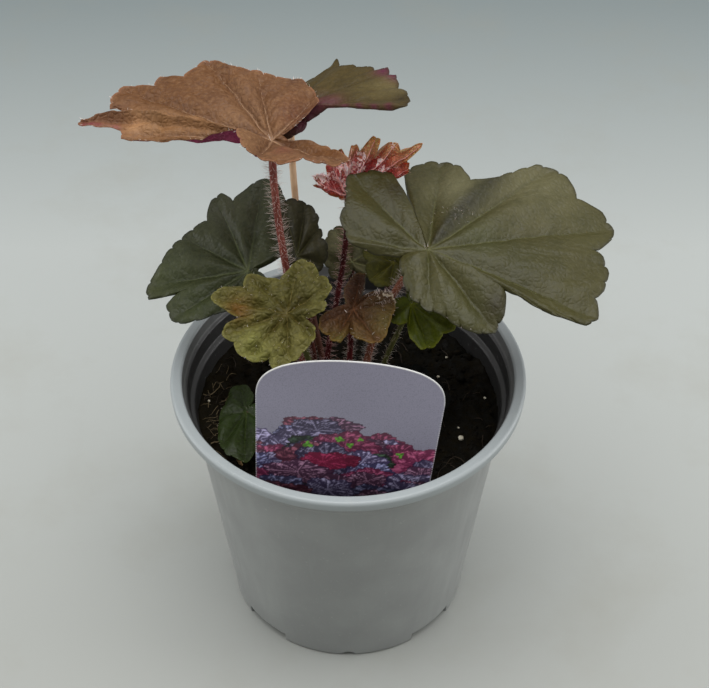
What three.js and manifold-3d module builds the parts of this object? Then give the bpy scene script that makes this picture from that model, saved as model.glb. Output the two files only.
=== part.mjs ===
// A young heuchera in its nursery pot, with the plant label. Millimetres, +Z up.
// The origin is the middle of the pot's base, where it stands. The label is at the front, -Y.
import * as THREE from 'three';
import { mergeVertices } from 'three/addons/utils/BufferGeometryUtils.js';
import Module from 'manifold-3d';

const wasm = await Module();
wasm.setup();

// Driving dimensions
const gap = 0.3; // between pieces that touch
const potHeight = 108.5;
const rimRadius = 65;
const rimInner = 60.6;
const lipDepth = 3.9;
const wall = 0.95;
const ledgeTop = 103.6; // first step inside the collar
const ledgeLow = 96.4; // second step, where the tapered body starts
const bodyTopRadius = 57.4;
const bodyFootRadius = 46;
const channelHeight = 4.6; // drainage space under the base
const floorTop = 5.8;
const padRadius = 14; // middle of the base, which touches the ground with the feet
const footInner = 37.5;
const footOuter = 45;
const gapRise = 4.2; // how far the wall is lifted between two feet
const sides = 48;
const soilTop = 90;
const crownCentre = [-4, 4.5];
const crownRadius = 16.2;
const crownTop = 96.5;
const stemFoot = 87; // height at which the leaf stems start inside the crown
const labelWidth = 64.6;
const labelThickness = 0.7;
const labelTop = 149.6;
const labelBottom = 92.6; // lower edge of the card; the stake goes on down
const labelFoot = [-2.4, -46.6, labelBottom];
const labelLean = 10; // degrees back from upright
const labelTurn = 4.5; // degrees clockwise, seen from the front
const bladeThickness = 1;
const bite = 0.12; // depth of a tooth against its width

// Small helpers
const radians = (degrees) => degrees * Math.PI / 180;
const smooth = (t) => t * t * (3 - 2 * t);

function solid(geometry) {
  geometry.deleteAttribute('normal');
  geometry.deleteAttribute('uv');
  const merged = mergeVertices(geometry, 1e-4);
  const vertProperties = new Float32Array(merged.attributes.position.array);
  const triVerts = new Uint32Array(merged.index.array);
  return new wasm.Manifold(new wasm.Mesh({ numProp: 3, vertProperties, triVerts }));
}

function geometryOf(manifold) {
  const { vertProperties, triVerts } = manifold.getMesh();
  const geometry = new THREE.BufferGeometry();
  geometry.setAttribute('position', new THREE.BufferAttribute(vertProperties, 3));
  geometry.setIndex(new THREE.BufferAttribute(triVerts, 1));
  return geometry;
}

function finish(name, body, color, roughness) {
  const material = new THREE.MeshStandardMaterial({ color, roughness, metalness: 0 });
  const mesh = new THREE.Mesh(geometryOf(body), material);
  mesh.name = name;
  return mesh;
}

// A profile of [radius, height] turned round the Z axis
function lathe(profile, segments) {
  const points = profile.map(([r, z]) => new THREE.Vector2(r, z));
  return new THREE.LatheGeometry(points, segments).rotateX(Math.PI / 2);
}

// Inside of the tapered wall at a height
function innerRadius(z) {
  const share = (z - floorTop - 1) / (ledgeLow - floorTop - 1);
  return bodyFootRadius - wall + (bodyTopRadius - bodyFootRadius) * share;
}

// Pot: one moulded wall, from the pad in the middle of the base round the rim and back to the floor
function potProfile() {
  const lipBottom = potHeight - lipDepth;
  return [
    [0, 0], [padRadius, 0], [padRadius + 1.2, channelHeight],
    [footInner - 0.9, channelHeight], [footInner, 0], [footOuter, 0], [45.5, 0.5],
    [bodyFootRadius, floorTop], [bodyTopRadius, ledgeLow - 0.6],
    [59.2, ledgeLow + 0.6], [59.9, ledgeTop - 1], [61, ledgeTop], [61.4, potHeight - 1.9],
    [63.6, potHeight - 1.7], [63.8, lipBottom], [rimRadius - 0.2, lipBottom], [rimRadius, potHeight - 0.8],
    [64.3, potHeight - 0.1], [63.5, potHeight], [rimInner + 0.6, potHeight],
    [rimInner, potHeight - 0.5], [60.2, ledgeTop + 0.5], [58.9, ledgeTop - 0.5],
    [58.3, ledgeLow + 1.2], [bodyTopRadius - wall, ledgeLow], [bodyFootRadius - wall, floorTop + 1],
    [bodyFootRadius - wall - 1.2, floorTop], [0, floorTop],
  ];
}

// Arched notch in the middle of a foot
function footNotch(angle) {
  const arch = new THREE.CylinderGeometry(2.6, 2.6, 12, 12).rotateZ(Math.PI / 2);
  arch.scale(1, 1, 0.8).translate(footOuter, 0, 0).rotateZ(radians(angle));
  return solid(arch);
}

// Raised arc between two feet
function footGap(angle) {
  const half = radians(12.5);
  const shape = new THREE.Shape();
  shape.absarc(0, 0, footOuter + 8, -half, half, false);
  shape.absarc(0, 0, footInner - 3, half, -half, true);
  const arc = new THREE.ExtrudeGeometry(shape, { depth: 2 * gapRise, bevelEnabled: false, curveSegments: 3 });
  arc.translate(0, 0, -gapRise).rotateZ(radians(angle));
  return solid(arc);
}

function drainHole(angle) {
  const bore = new THREE.CylinderGeometry(3.2, 3.2, 12, 12).rotateX(Math.PI / 2);
  bore.translate(27, 0, floorTop).rotateZ(radians(angle));
  return solid(bore);
}

function makePot() {
  let body = solid(lathe(potProfile(), sides));
  for (let i = 0; i < 4; i += 1) {
    body = body.subtract(footNotch(90 * i)).subtract(footGap(90 * i + 45));
  }
  for (let i = 0; i < 6; i += 1) body = body.subtract(drainHole(60 * i + 30));
  return finish('pot', body, 0x6f726f, 0.45);
}

// Lumps of the compost's surface: a few waves that never line up
function lump(x, y) {
  return 0.8 * Math.sin(0.31 * x + 0.17 * y) * Math.cos(0.27 * y - 0.12 * x)
    + 0.5 * Math.sin(0.83 * x - 0.4 * y + 1) * Math.sin(0.71 * y + 0.3 * x);
}

// Compost: fills the pot up to soilTop, with a lumpy top, the crown's recess and the stake's slot
function makeSoil(stake) {
  const edge = innerRadius(soilTop) - gap;
  const foot = bodyFootRadius - wall - 1.2 - gap;
  const rings = [edge - 0.5, 50, 44, 38, 32, 26, 21, 15, 8];
  const profile = [[0, floorTop + gap], [foot, floorTop + gap]];
  for (const z of [floorTop + 2, soilTop - 1.6]) profile.push([innerRadius(z) - gap, z]);
  for (const r of rings) profile.push([r, soilTop]);
  profile.push([0, soilTop]);
  const shape = lathe(profile, sides);
  const position = shape.attributes.position;
  for (let i = 0; i < position.count; i += 1) {
    if (position.getZ(i) < soilTop - 0.1) continue;
    position.setZ(i, soilTop + lump(position.getX(i), position.getY(i)));
  }
  const recess = solid(crownShape(gap));
  return finish('soil', solid(shape).subtract(recess).subtract(stake), 0x17130f, 0.95);
}

// Crown: a low knobbly dome of rootstock. Grown by extra, it is also the recess in the compost
function crownShape(extra) {
  const r = crownRadius;
  const profile = [
    [0, 80], [r - 6, 80.5], [r - 1.6, 84], [r, 88.5], [r - 1.2, 92.4], [r - 5, 95], [0, crownTop],
  ];
  const shape = lathe(profile, 24);
  const position = shape.attributes.position;
  for (let i = 0; i < position.count; i += 1) {
    const x = position.getX(i);
    const y = position.getY(i);
    const z = position.getZ(i);
    const knob = 1 - 0.05 * (1 + Math.sin(5 * Math.atan2(y, x) + 0.5 * z));
    const grow = extra ? (r + 1.6 * extra) / r : knob;
    const sunk = z < 81 ? z - extra : z;
    position.setXYZ(i, x * grow + crownCentre[0], y * grow + crownCentre[1], sunk);
  }
  return shape;
}

// Label: a card with a rounded top and, below it, a narrow stake
function labelOutline(extra) {
  const half = labelWidth / 2;
  const height = labelTop - labelBottom;
  const shape = new THREE.Shape();
  if (extra) {
    shape.moveTo(-6 - extra, 2).lineTo(-6 - extra, -20 - extra).lineTo(0, -26 - 2 * extra);
    shape.lineTo(6 + extra, -20 - extra).lineTo(6 + extra, 2);
    return shape;
  }
  shape.moveTo(-6, 0).lineTo(-half + 7, 0).quadraticCurveTo(-half + 2.4, 0, -half + 2, 6);
  shape.lineTo(-half, height - 13);
  shape.bezierCurveTo(-half, height - 7, -half + 4, height - 3.8, -half + 10, height - 2.6);
  shape.quadraticCurveTo(0, height + 2.4, half - 10, height - 2.6);
  shape.bezierCurveTo(half - 4, height - 3.8, half, height - 7, half, height - 13);
  shape.lineTo(half - 2, 6).quadraticCurveTo(half - 2.4, 0, half - 7, 0).lineTo(6, 0);
  shape.lineTo(6, -20).lineTo(0, -26).lineTo(-6, -20).lineTo(-6, 0);
  return shape;
}

function labelSolid(extra) {
  const depth = labelThickness + 2 * extra;
  const options = { depth, bevelEnabled: false, curveSegments: 7 };
  const card = new THREE.ExtrudeGeometry(labelOutline(extra), options).translate(0, 0, -depth / 2);
  card.rotateX(Math.PI / 2).rotateY(radians(labelTurn)).rotateX(radians(-labelLean));
  return solid(card.translate(...labelFoot));
}

// Leaves. Each key point of a blade's edge is [angle, reach, rise], seen from the top of its stem:
// the angle from the blade's own heading, the distance out, and the height above the blade's plane.
function isDip(keys, i) {
  const n = keys.length;
  return keys[i][1] < keys[(i + n - 1) % n][1] && keys[i][1] <= keys[(i + 1) % n][1];
}

function isTip(keys, i) {
  const n = keys.length;
  return keys[i][1] >= keys[(i + n - 1) % n][1] && keys[i][1] > keys[(i + 1) % n][1];
}

// Round at a tip, sharp at a notch, straight elsewhere
function ease(t, fromTip, toTip) {
  if (fromTip && toTip) return smooth(t);
  if (fromTip) return 1 - Math.cos(t * Math.PI / 2);
  if (toTip) return Math.sin(t * Math.PI / 2);
  return t;
}

// Points round the edge, two for each tooth: { angle, reach, rim, rise }, rim with the teeth
function edgePoints({ keys, tooth }) {
  const points = [];
  keys.forEach((key, i) => {
    const next = keys[(i + 1) % keys.length];
    const turn = next[0] - key[0] + (i + 1 === keys.length ? 360 : 0);
    const length = Math.hypot(radians(turn) * (key[1] + next[1]) / 2, next[1] - key[1]);
    const fromDip = isDip(keys, i);
    const toDip = isDip(keys, (i + 1) % keys.length);
    const teeth = Math.round(length / tooth);
    const cycles = fromDip === toDip ? Math.max(1, teeth) : Math.max(0.5, teeth - 0.5);
    for (let k = 0; k < 2 * cycles; k += 1) {
      const t = k / (2 * cycles);
      const eased = ease(t, isTip(keys, i), isTip(keys, (i + 1) % keys.length));
      const reach = key[1] + (next[1] - key[1]) * eased;
      const peak = (k % 2 === 0) !== fromDip;
      points.push({
        angle: key[0] + turn * t,
        reach,
        rim: peak ? reach : reach - Math.min(bite * tooth, 0.2 * reach),
        dip: k === 0 && fromDip,
        rise: key[2] + (next[2] - key[2]) * smooth(t),
      });
    }
  });
  return points;
}

// How far a direction is from the nearest main vein: 0 on a vein, 1 half way between two
function fromVein(angle, veins) {
  const turned = veins.map((vein) => ((angle - vein) % 360 + 360) % 360);
  const behind = Math.min(...turned);
  const ahead = 360 - Math.max(...turned);
  return Math.sin(Math.PI * behind / (behind + ahead));
}

// The blade's plane: u along its heading, v to the left of it, n up
function bladeAxes({ heading, dip, bank }) {
  const [h, d, b] = [heading, dip, bank].map(radians);
  const u = new THREE.Vector3(Math.cos(h) * Math.cos(d), Math.sin(h) * Math.cos(d), Math.sin(d));
  const level = new THREE.Vector3(-Math.sin(h), Math.cos(h), 0);
  const v = level.clone().applyAxisAngle(u, b);
  return { u, v, n: new THREE.Vector3().crossVectors(u, v) };
}

// Rings of points from the edge to the middle, each with about half the points of the one outside it
function bladeRings(leaf) {
  const edge = edgePoints(leaf);
  const bulge = leaf.puff ?? 1;
  const height = (p, s) => p.rise * s ** 1.4 + bulge * fromVein(p.angle, leaf.veins) * 4 * s * (1 - s);
  edge.forEach((p, i) => { p.order = i; });
  const ring = (step, s) => edge.filter((p) => p.dip || p.order % step === 0).map((p) => {
    const reach = s === 1 ? p.rim : p.reach * s;
    const a = radians(p.angle);
    return { order: p.order, x: reach * Math.cos(a), y: reach * Math.sin(a), z: height(p, s) };
  });
  return [ring(1, 1), ring(2, 0.74), ring(4, 0.46), ring(8, 0.2)];
}

// Triangles between an outer and an inner ring, taken in order round the blade
function stitch(outer, inner, total, outerStart, innerStart) {
  const faces = [];
  let i = 0;
  let j = 0;
  while (i < outer.length || j < inner.length) {
    const nextOuter = i + 1 < outer.length ? outer[i + 1].order : total;
    const nextInner = j + 1 < inner.length ? inner[j + 1].order : total;
    const a = outerStart + (i % outer.length);
    const b = innerStart + (j % inner.length);
    if (j >= inner.length || (i < outer.length && nextOuter <= nextInner)) {
      faces.push([a, outerStart + ((i + 1) % outer.length), b]);
      i += 1;
    } else {
      faces.push([a, innerStart + ((j + 1) % inner.length), b]);
      j += 1;
    }
  }
  return faces;
}

// A thin closed blade: the same triangles above and below, and a band round the edge
function bladeSolid(leaf) {
  const rings = bladeRings(leaf);
  const total = rings[0].length;
  const starts = [];
  const flat = [];
  for (const ring of rings) {
    starts.push(flat.length);
    flat.push(...ring);
  }
  const middle = flat.length;
  flat.push({ x: 0, y: 0, z: 0 });
  const faces = [];
  for (let k = 0; k + 1 < rings.length; k += 1) {
    faces.push(...stitch(rings[k], rings[k + 1], total, starts[k], starts[k + 1]));
  }
  const last = rings.length - 1;
  const inmost = rings[last].length;
  for (let i = 0; i < inmost; i += 1) {
    faces.push([starts[last] + i, starts[last] + (i + 1) % inmost, middle]);
  }
  const { u, v, n } = bladeAxes(leaf);
  const at = new THREE.Vector3(...leaf.at);
  const place = (p, drop) => at.clone().addScaledVector(u, p.x).addScaledVector(v, p.y)
    .addScaledVector(n, p.z - drop);
  const upper = flat.map((p) => place(p, 0));
  const lower = flat.map((p) => place(p, bladeThickness));
  const count = flat.length;
  const index = [];
  for (const [a, b, c] of faces) index.push(a, b, c, count + a, count + c, count + b);
  for (let i = 0; i < total; i += 1) {
    const j = (i + 1) % total;
    index.push(i, count + i, count + j, i, count + j, j);
  }
  const geometry = new THREE.BufferGeometry().setFromPoints([...upper, ...lower]);
  geometry.setIndex(index);
  return solid(geometry);
}

// The stem's path: out of the crown along rise, into the blade along arrive
function stemPath(leaf, deeper) {
  const rise = new THREE.Vector3(...leaf.stem.rise);
  const foot = new THREE.Vector3(...leaf.stem.foot, stemFoot);
  foot.addScaledVector(rise, -deeper / rise.length());
  const head = new THREE.Vector3(...leaf.at).addScaledVector(bladeAxes(leaf).n, -0.55 * bladeThickness);
  const arrive = new THREE.Vector3(...leaf.stem.arrive);
  return new THREE.CubicBezierCurve3(foot, foot.clone().add(rise), head.clone().sub(arrive), head);
}

function stemSolid(leaf, extra) {
  const section = new THREE.Shape();
  const radius = leaf.stem.radius + extra / Math.cos(Math.PI / 6);
  for (let i = 0; i < 6; i += 1) {
    const corner = [radius * Math.cos(i * Math.PI / 3), radius * Math.sin(i * Math.PI / 3)];
    if (i === 0) section.moveTo(...corner);
    else section.lineTo(...corner);
  }
  const path = stemPath(leaf, extra);
  const steps = Math.max(7, Math.round(path.getLength() / 8));
  return solid(new THREE.ExtrudeGeometry(section, { steps, extrudePath: path, bevelEnabled: false }));
}

const leaves = [
  {
    name: 'leaf_bronze_tall', color: 0x96704f, tooth: 6, veins: [-122, -81, -60, -30, -12, 75, 141],
    at: [-25, 8, 206.8], heading: 180, dip: 0, bank: 0, puff: 1.6,
    stem: { foot: [-13.9, 1], radius: 1.35, rise: [-4, 6, 42], arrive: [1.3, -1, 34] },
    keys: [[-172, 5.5, 0], [-134, 4.5, 0], [-128, 25, 2], [-106, 34, 2], [-94, 34.5, 1.5], [-80, 37, 3],
      [-67, 40, 5], [-59, 49, 3], [-48, 48, 1.5], [-43, 55, 0], [-36, 52, 1], [-31, 61, 0],
      [-25, 62, -1], [-21, 60, -2], [-19.5, 46, 1], [-17, 71, -8], [-13, 53, -4], [-9, 52, -5],
      [-6, 39, -3], [-5, 27, -1], [4, 15, 5], [12, 12, 7], [36, 13, 8], [69, 18, 8], [86, 21, 8],
      [104, 23.5, 8], [119, 23, 8], [130, 33, 9], [140, 34, 8.5], [147, 29, 6], [158, 20, 3],
      [172, 4, 0]],
  },
  {
    name: 'leaf_olive_tall', color: 0x66603a, tooth: 6, veins: [-100, -44, -8, 26, 64, 110],
    at: [-19.8, 31.2, 202.4], heading: 0, dip: 22, bank: -10, puff: 1.2,
    stem: { foot: [-6.3, 10], radius: 1.25, rise: [-8, 9, 32], arrive: [0.8, -1, 42] },
    keys: [[-172, 3.5, -1], [-140, 6, -3], [-111, 10, -5], [-69, 8, -5], [-42, 7.5, -4], [-24, 9, -3],
      [-20.5, 15, -1], [-20, 22, -2], [-19.6, 30, -4], [-19.3, 38, -6], [-18, 43, -6], [-10, 42.2, -7],
      [1, 40, -7], [8, 37.2, -7], [13, 37.7, -6.5], [18, 38.5, -5], [23, 36.8, -4.5], [28, 38.3, -4],
      [32, 36.4, -4], [34.5, 34.2, -4], [39, 36, -4], [44, 33.4, -3], [49, 31.8, -1], [58, 30.6, -0.5],
      [64, 34.5, 0], [67, 30, -1], [75, 27, -2], [84, 27, -3], [100, 24, -3], [122, 20, -2], [150, 14, -2]],
  },
  {
    name: 'leaf_pink_young', color: 0x9a4c45, tooth: 5, veins: [-62, -20, 5, 21, 36, 49, 64],
    at: [-0.4, 30, 167.6], heading: -90, dip: 82, bank: 0, puff: 1.6,
    stem: { foot: [-8.6, 3.5], radius: 1.1, rise: [-1.8, 5, 26], arrive: [-2, 7, 24] },
    keys: [[-150, 3, 0], [-110, 6, 1], [-82, 9, 1], [-74, 13, 1], [-67, 10.5, 0], [-61, 14, 2],
      [-50, 13.4, 1], [-38, 11, 0], [-30, 14.5, 1], [-12, 20, 2], [-5, 20.5, 2], [1, 16, 0], [4, 21.5, 2],
      [9, 23, 2], [12.5, 21, 0], [19, 28, 2], [24, 28.8, 1], [27.5, 22, -1], [31, 28, 1], [38, 29, 2],
      [42, 28, 0], [49.5, 35, 2], [52, 26.5, 0], [59, 25.5, 2], [69, 23.5, 2], [77, 9, 1], [110, 5, 1],
      [150, 3, 0]],
  },
  {
    name: 'leaf_grey_wide', color: 0x5f5d4a, tooth: 6.5, veins: [-166, -128, -30, 8, 39, 76, 103, 142],
    at: [27.3, -5, 170.6], heading: -60, dip: 0, bank: 0, puff: 1.8,
    stem: { foot: [4, 5], radius: 1.3, rise: [2, 3, 26], arrive: [13, -12, 26] },
    keys: [[-195.5, 5, 0], [-193.5, 27, 5], [-190, 35.5, 8], [-179, 36.5, 10], [-164, 38, 11.5],
      [-152, 32.5, 10], [-137, 31.5, 7], [-121, 27, 3], [-117, 18, -1], [-112, 10, -2], [-90, 11, -4],
      [-65, 14, -6], [-46, 19, -7], [-20, 23, -9], [-4, 31, -12], [9, 35, -13], [17, 34, -9],
      [28, 31, -4], [31, 48, -9], [35, 58, -12], [39, 61, -12], [46, 59, -9], [57, 62, -8],
      [66, 59, -5], [75, 68, -6], [82, 67, -4], [89, 62, -1], [97, 63, 2], [107, 58, 4], [114, 41, 5],
      [124, 37, 5], [133, 43, 4], [147, 47, 2], [160, 43, 1], [162.5, 30, 0.5]],
  },
  {
    name: 'leaf_dark_left', color: 0x2f3a2e, tooth: 6, veins: [-102, -72, -40, -5, 24, 60, 150],
    at: [-35.6, 12, 146.6], heading: 180, dip: -15, bank: -20, puff: 1.4,
    stem: { foot: [-15.5, 6.5], radius: 1.3, rise: [-3, 2, 22], arrive: [-12, -1, 18] },
    keys: [[-176, 4, 0], [-166, 12, 0], [-145, 22, 0], [-122, 30, 0], [-103, 38.5, 0], [-92, 34, 0],
      [-83, 31.5, 0], [-77, 36, 0], [-70, 34.5, 0], [-60, 29, 0], [-42, 30.5, 0], [-26, 33.5, 0],
      [-12, 36, -1], [-1, 39, -1.5], [4, 38, -1], [7, 28, 0], [13, 32, 0], [25, 32.5, 0], [33, 29, 0],
      [41, 24, 0], [52, 18, 0], [80, 14, 0], [110, 12, 0], [140, 9, 0], [168, 4, 0]],
  },
  {
    name: 'leaf_shadow_back', color: 0x2c2a22, tooth: 5.5, veins: [-100, -32, 0, 25],
    at: [-18, 12.5, 153.2], heading: 75, dip: 55, bank: 0, puff: 1.2,
    stem: { foot: [-11.5, 12.5], radius: 1.15, rise: [-1, 1, 24], arrive: [-0.5, -1, 20] },
    keys: [[-170, 3.5, 0], [-140, 8, 0], [-112, 10, 0], [-82, 11, 0], [-60, 12, 0], [-45, 11.5, 0],
      [-34, 13, 0], [-26, 13, 0], [-22, 16, 0], [-8, 18.5, 0], [3, 19.5, 0], [14, 20.5, 0],
      [25, 20.5, 0], [34, 18, 0], [50, 12, 0], [72, 8, 0], [96, 6.5, 0], [124, 6, 0], [174, 3.5, 0]],
  },
  {
    name: 'leaf_shadow_centre', color: 0x30342a, tooth: 5.5, veins: [-110, -60, 15, 85, 125],
    at: [1.4, 27, 138], heading: 100, dip: 25, bank: 0, puff: 1.2,
    stem: { foot: [0.5, 13], radius: 1.15, rise: [0, 4, 20], arrive: [0.5, 3, 18] },
    keys: [[-170, 3.5, 0], [-140, 10, 0], [-105, 15, 0], [-84, 13, 0], [-58, 17, 0], [-30, 16, 0],
      [-12, 13, 0], [13, 15.5, 0], [26, 15, 0], [40, 13, 0], [58, 12.5, 0], [76, 11, 0], [98, 9.5, 0],
      [120, 10, 0], [150, 8, 0], [174, 3.5, 0]],
  },
  {
    name: 'leaf_green_under', color: 0x3b431f, tooth: 5, veins: [-80, -12, 30, 95],
    at: [16.4, 16, 147.4], heading: -130, dip: -12, bank: 0, puff: 1,
    stem: { foot: [6, 10.5], radius: 1, rise: [1, 1, 24], arrive: [3, -1, 18] },
    keys: [[-160, 6, 0], [-120, 12, 0], [-82, 13.5, 0], [-58, 10, 0], [-36, 10.5, 0], [-12, 11.5, 0],
      [10, 12.5, 0], [34, 10.5, 0], [52, 8.5, 0], [90, 11, 0], [128, 9, 0], [158, 6, 0], [180, 3, 0]],
  },
  {
    name: 'leaf_yellow_front', color: 0x6b6a2c, tooth: 5, veins: [-145, -103, -50, -13, 20, 52, 92, 140],
    at: [-21, -13, 149], heading: 180, dip: 0, bank: -25, puff: 1.8,
    stem: { foot: [-9.5, -4.5], radius: 1.2, rise: [-1, -2, 22], arrive: [-6, -4, 18] },
    keys: [[-176, 12, 0], [-166, 14.5, 0], [-159, 14, 0], [-150, 18, 1], [-136, 19, 1], [-128, 18.4, 0],
      [-118, 19.8, 2], [-104, 20.5, 2], [-92, 16, 1], [-78, 13.5, 0], [-60, 15, 0], [-46, 20.5, 0],
      [-34, 19, -1], [-24, 24, 0], [-13, 27.5, 0], [-7, 24, 0], [4, 16.5, -1], [12, 21, 1], [21, 24, 1],
      [31, 21.5, 0], [42, 22.5, 1], [58, 21.5, 0], [70, 18, -1], [78, 21.5, 0], [90, 19, 0],
      [102, 18, 1], [118, 15, 1], [138, 13.5, 0], [152, 11, 0], [162, 7, 0]],
  },
  {
    name: 'leaf_red_centre', color: 0x5a3524, tooth: 4.5, veins: [-88, -54, -4, 70, 115, 142],
    at: [1.9, -5, 143.4], heading: -60, dip: 0, bank: 0, puff: 1.4,
    stem: { foot: [-0.5, -1], radius: 1, rise: [0, -0.5, 20], arrive: [1, 0, 18] },
    keys: [[-178, 6, 1], [-156, 3, 0], [-122, 6, 1], [-95, 13, 1], [-80, 15.5, 1], [-70, 17, 1],
      [-63, 15.5, 0], [-54, 18.5, 1], [-45, 17, 0], [-38, 10.5, -1], [-27, 15, 1], [-12, 19, 1],
      [-2, 20, 1], [9, 18, 1], [24, 15.5, 2.5], [46, 15, 3.5], [78, 14.5, 3.5], [98, 13, 2],
      [112, 12, 0], [127, 7, 0], [137, 19, 1], [143, 19, 1], [157, 14, 1]],
  },
  {
    name: 'leaf_green_right', color: 0x3c4a1c, tooth: 5, veins: [-85, -35, -12, 24, 80, 130],
    at: [22.2, 0, 141.5], heading: -60, dip: -10, bank: 0, puff: 1.2,
    stem: { foot: [8.5, 2.5], radius: 1, rise: [2, 0, 20], arrive: [5, -0.5, 16] },
    keys: [[-170, 4, 0], [-140, 6, 0], [-104, 7.5, 0], [-70, 11, 0], [-52, 10, 0], [-40, 9, 0],
      [-32, 15, 0], [-20, 20, 0], [-9, 20.5, 0], [3, 18, 0], [12, 17, 0], [26, 18.5, 0], [44, 17, 0],
      [60, 19, 0], [84, 16.5, 0], [108, 15, 0], [135, 12, 0], [160, 8, 0], [180, 3, 0]],
  },
  {
    name: 'leaf_soil_left', color: 0x2c3a22, tooth: 5, veins: [-140, -60, 3, 32, 90],
    at: [-37.1, -12.3, 100], heading: -120, dip: 0, bank: 0, puff: 1.2,
    stem: { foot: [-14.5, -1.5], radius: 1, rise: [-2, -1, 14], arrive: [-12, -6, 1] },
    keys: [[-180, 3.5, 0], [-166, 9, 0], [-148, 14.5, -0.5], [-128, 15, -1], [-112, 11, -1],
      [-90, 9.5, -1], [-52, 9.5, -1], [-20, 12.5, -1], [3, 18.5, -1], [14, 21.5, -1], [22, 21.5, -1],
      [32, 24, -1.5], [42, 19, -1], [58, 16, -1], [88, 14.5, -1], [120, 12.5, -1], [152, 9, 0]],
  },
  {
    name: 'leaf_soil_right', color: 0x24281c, tooth: 4.5, veins: [-90, -25, 35, 105, 135],
    at: [25.5, -4, 102], heading: -20, dip: 0, bank: 0, puff: 1,
    stem: { foot: [5.5, -5], radius: 1, rise: [4, 0.5, 12], arrive: [10, 0, 2] },
    keys: [[-175, 3, 0], [-150, 10, -1], [-120, 12.5, -1], [-104, 11, -1], [-80, 13, -1], [-58, 11, -1],
      [-34, 13, -1], [-14, 13, -1], [4, 12.5, 0], [27, 10, 0], [44, 10.5, 0], [64, 9.5, 0],
      [72, 10.5, 0], [84, 9.5, 0], [92, 12.5, 0], [110, 14.5, 0], [118, 14, 0], [134, 17, 0],
      [150, 13, 0], [166, 9, 0]],
  },
];

const stake = labelSolid(gap);
const label = labelSolid(0);
let crown = solid(crownShape(0));
for (const leaf of leaves) crown = crown.subtract(stemSolid(leaf, gap));

const plant = new THREE.Group();
plant.add(makePot());
plant.add(makeSoil(stake));
plant.add(finish('plant_label', label, 0x7b7683, 0.4));
plant.add(finish('crown', crown, 0x4a2a22, 0.85));
for (const leaf of leaves) {
  plant.add(finish(leaf.name, bladeSolid(leaf).add(stemSolid(leaf, 0)), leaf.color, 0.6));
}

export default plant;
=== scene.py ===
import math
import random
import bpy
import numpy as np
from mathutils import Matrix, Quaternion, Vector, kdtree


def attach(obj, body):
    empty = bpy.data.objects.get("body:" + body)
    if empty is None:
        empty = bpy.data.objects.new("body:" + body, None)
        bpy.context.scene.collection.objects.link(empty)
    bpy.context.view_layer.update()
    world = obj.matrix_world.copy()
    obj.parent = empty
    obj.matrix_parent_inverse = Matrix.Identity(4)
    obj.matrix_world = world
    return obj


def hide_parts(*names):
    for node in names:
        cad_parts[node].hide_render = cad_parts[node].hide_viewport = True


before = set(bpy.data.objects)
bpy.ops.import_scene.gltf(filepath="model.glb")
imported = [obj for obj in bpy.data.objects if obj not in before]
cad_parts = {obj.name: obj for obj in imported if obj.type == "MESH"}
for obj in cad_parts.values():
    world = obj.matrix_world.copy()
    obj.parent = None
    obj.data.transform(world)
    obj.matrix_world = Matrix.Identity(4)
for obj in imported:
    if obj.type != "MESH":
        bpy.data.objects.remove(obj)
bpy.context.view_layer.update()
mm = 0.001


# sRGB hex to the linear values that the shaders work in
def linear(hexColour):
    parts = [int(hexColour[i:i + 2], 16) / 255 for i in (1, 3, 5)]
    return tuple(c / 12.92 if c <= 0.04045 else ((c + 0.055) / 1.055) ** 2.4 for c in parts) + (1.0,)


def rgb(hexColour):
    return np.array(linear(hexColour)[:3])


# a node with its settings: a node or a socket given as a value is linked, a hex colour is turned linear
def addNode(tree, kind, settings):
    node = tree.nodes.new(kind)
    for key, value in settings.items():
        if isinstance(value, bpy.types.Node):
            value = value.outputs[0]
        if isinstance(key, str) and key[0].islower():
            setattr(node, key, value)
        elif isinstance(value, bpy.types.NodeSocket):
            tree.links.new(value, node.inputs[key])
        else:
            node.inputs[key].default_value = linear(value) if str(value).startswith("#") else value
    return node


# a material's tree, and the place on the piece for its patterns
def newFinish(name):
    material = bpy.data.materials.new(name)
    material.use_nodes = True
    material.node_tree.nodes.clear()
    return material, material.node_tree, addNode(material.node_tree, "ShaderNodeTexCoord", {}).outputs["Object"]


# coats of colour over a ground: an amount, a colour, the range the amount is read over, and the most it covers
def coated(tree, ground, coats):
    for amount, colour, low, high, most in coats:
        share = addNode(tree, "ShaderNodeMapRange", {0: amount, 1: low, 2: high, 4: most})
        ground = addNode(tree, "ShaderNodeMix", {"data_type": "RGBA", 0: share, 6: ground, 7: colour}).outputs[2]
    return ground


# the shader: its even settings, the ground and its coats, the roughness as a pattern read over a range and the
# values at its two ends, and the relief as a pattern, its strength and its depth in metres
def finished(material, settings, ground, coats, rough=None, relief=None):
    tree = material.node_tree
    settings = {"Base Color": coated(tree, ground, coats), **settings}
    if rough:
        settings["Roughness"] = addNode(tree, "ShaderNodeMapRange", dict(enumerate(rough)))
    if relief:
        settings["Normal"] = addNode(tree, "ShaderNodeBump", dict(zip(("Height", "Strength", "Distance"), relief)))
    shader = addNode(tree, "ShaderNodeBsdfPrincipled", settings)
    addNode(tree, "ShaderNodeOutputMaterial", {"Surface": shader})
    return material


def makeMesh(name, vertices, faces, attributes=None, slots=None, sharp=None, edges=()):
    mesh = bpy.data.meshes.new(name)
    mesh.from_pydata(np.asarray(vertices, float) * mm, edges, faces)
    addAttributes(mesh, attributes or {})
    if slots is not None:
        mesh.polygons.foreach_set("material_index", np.asarray(slots, np.int32))
    mesh.polygons.foreach_set("use_smooth", np.ones(len(mesh.polygons), bool))
    if sharp:
        mesh.set_sharp_from_angle(angle=math.radians(sharp))
    mesh.update()
    return mesh


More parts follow.
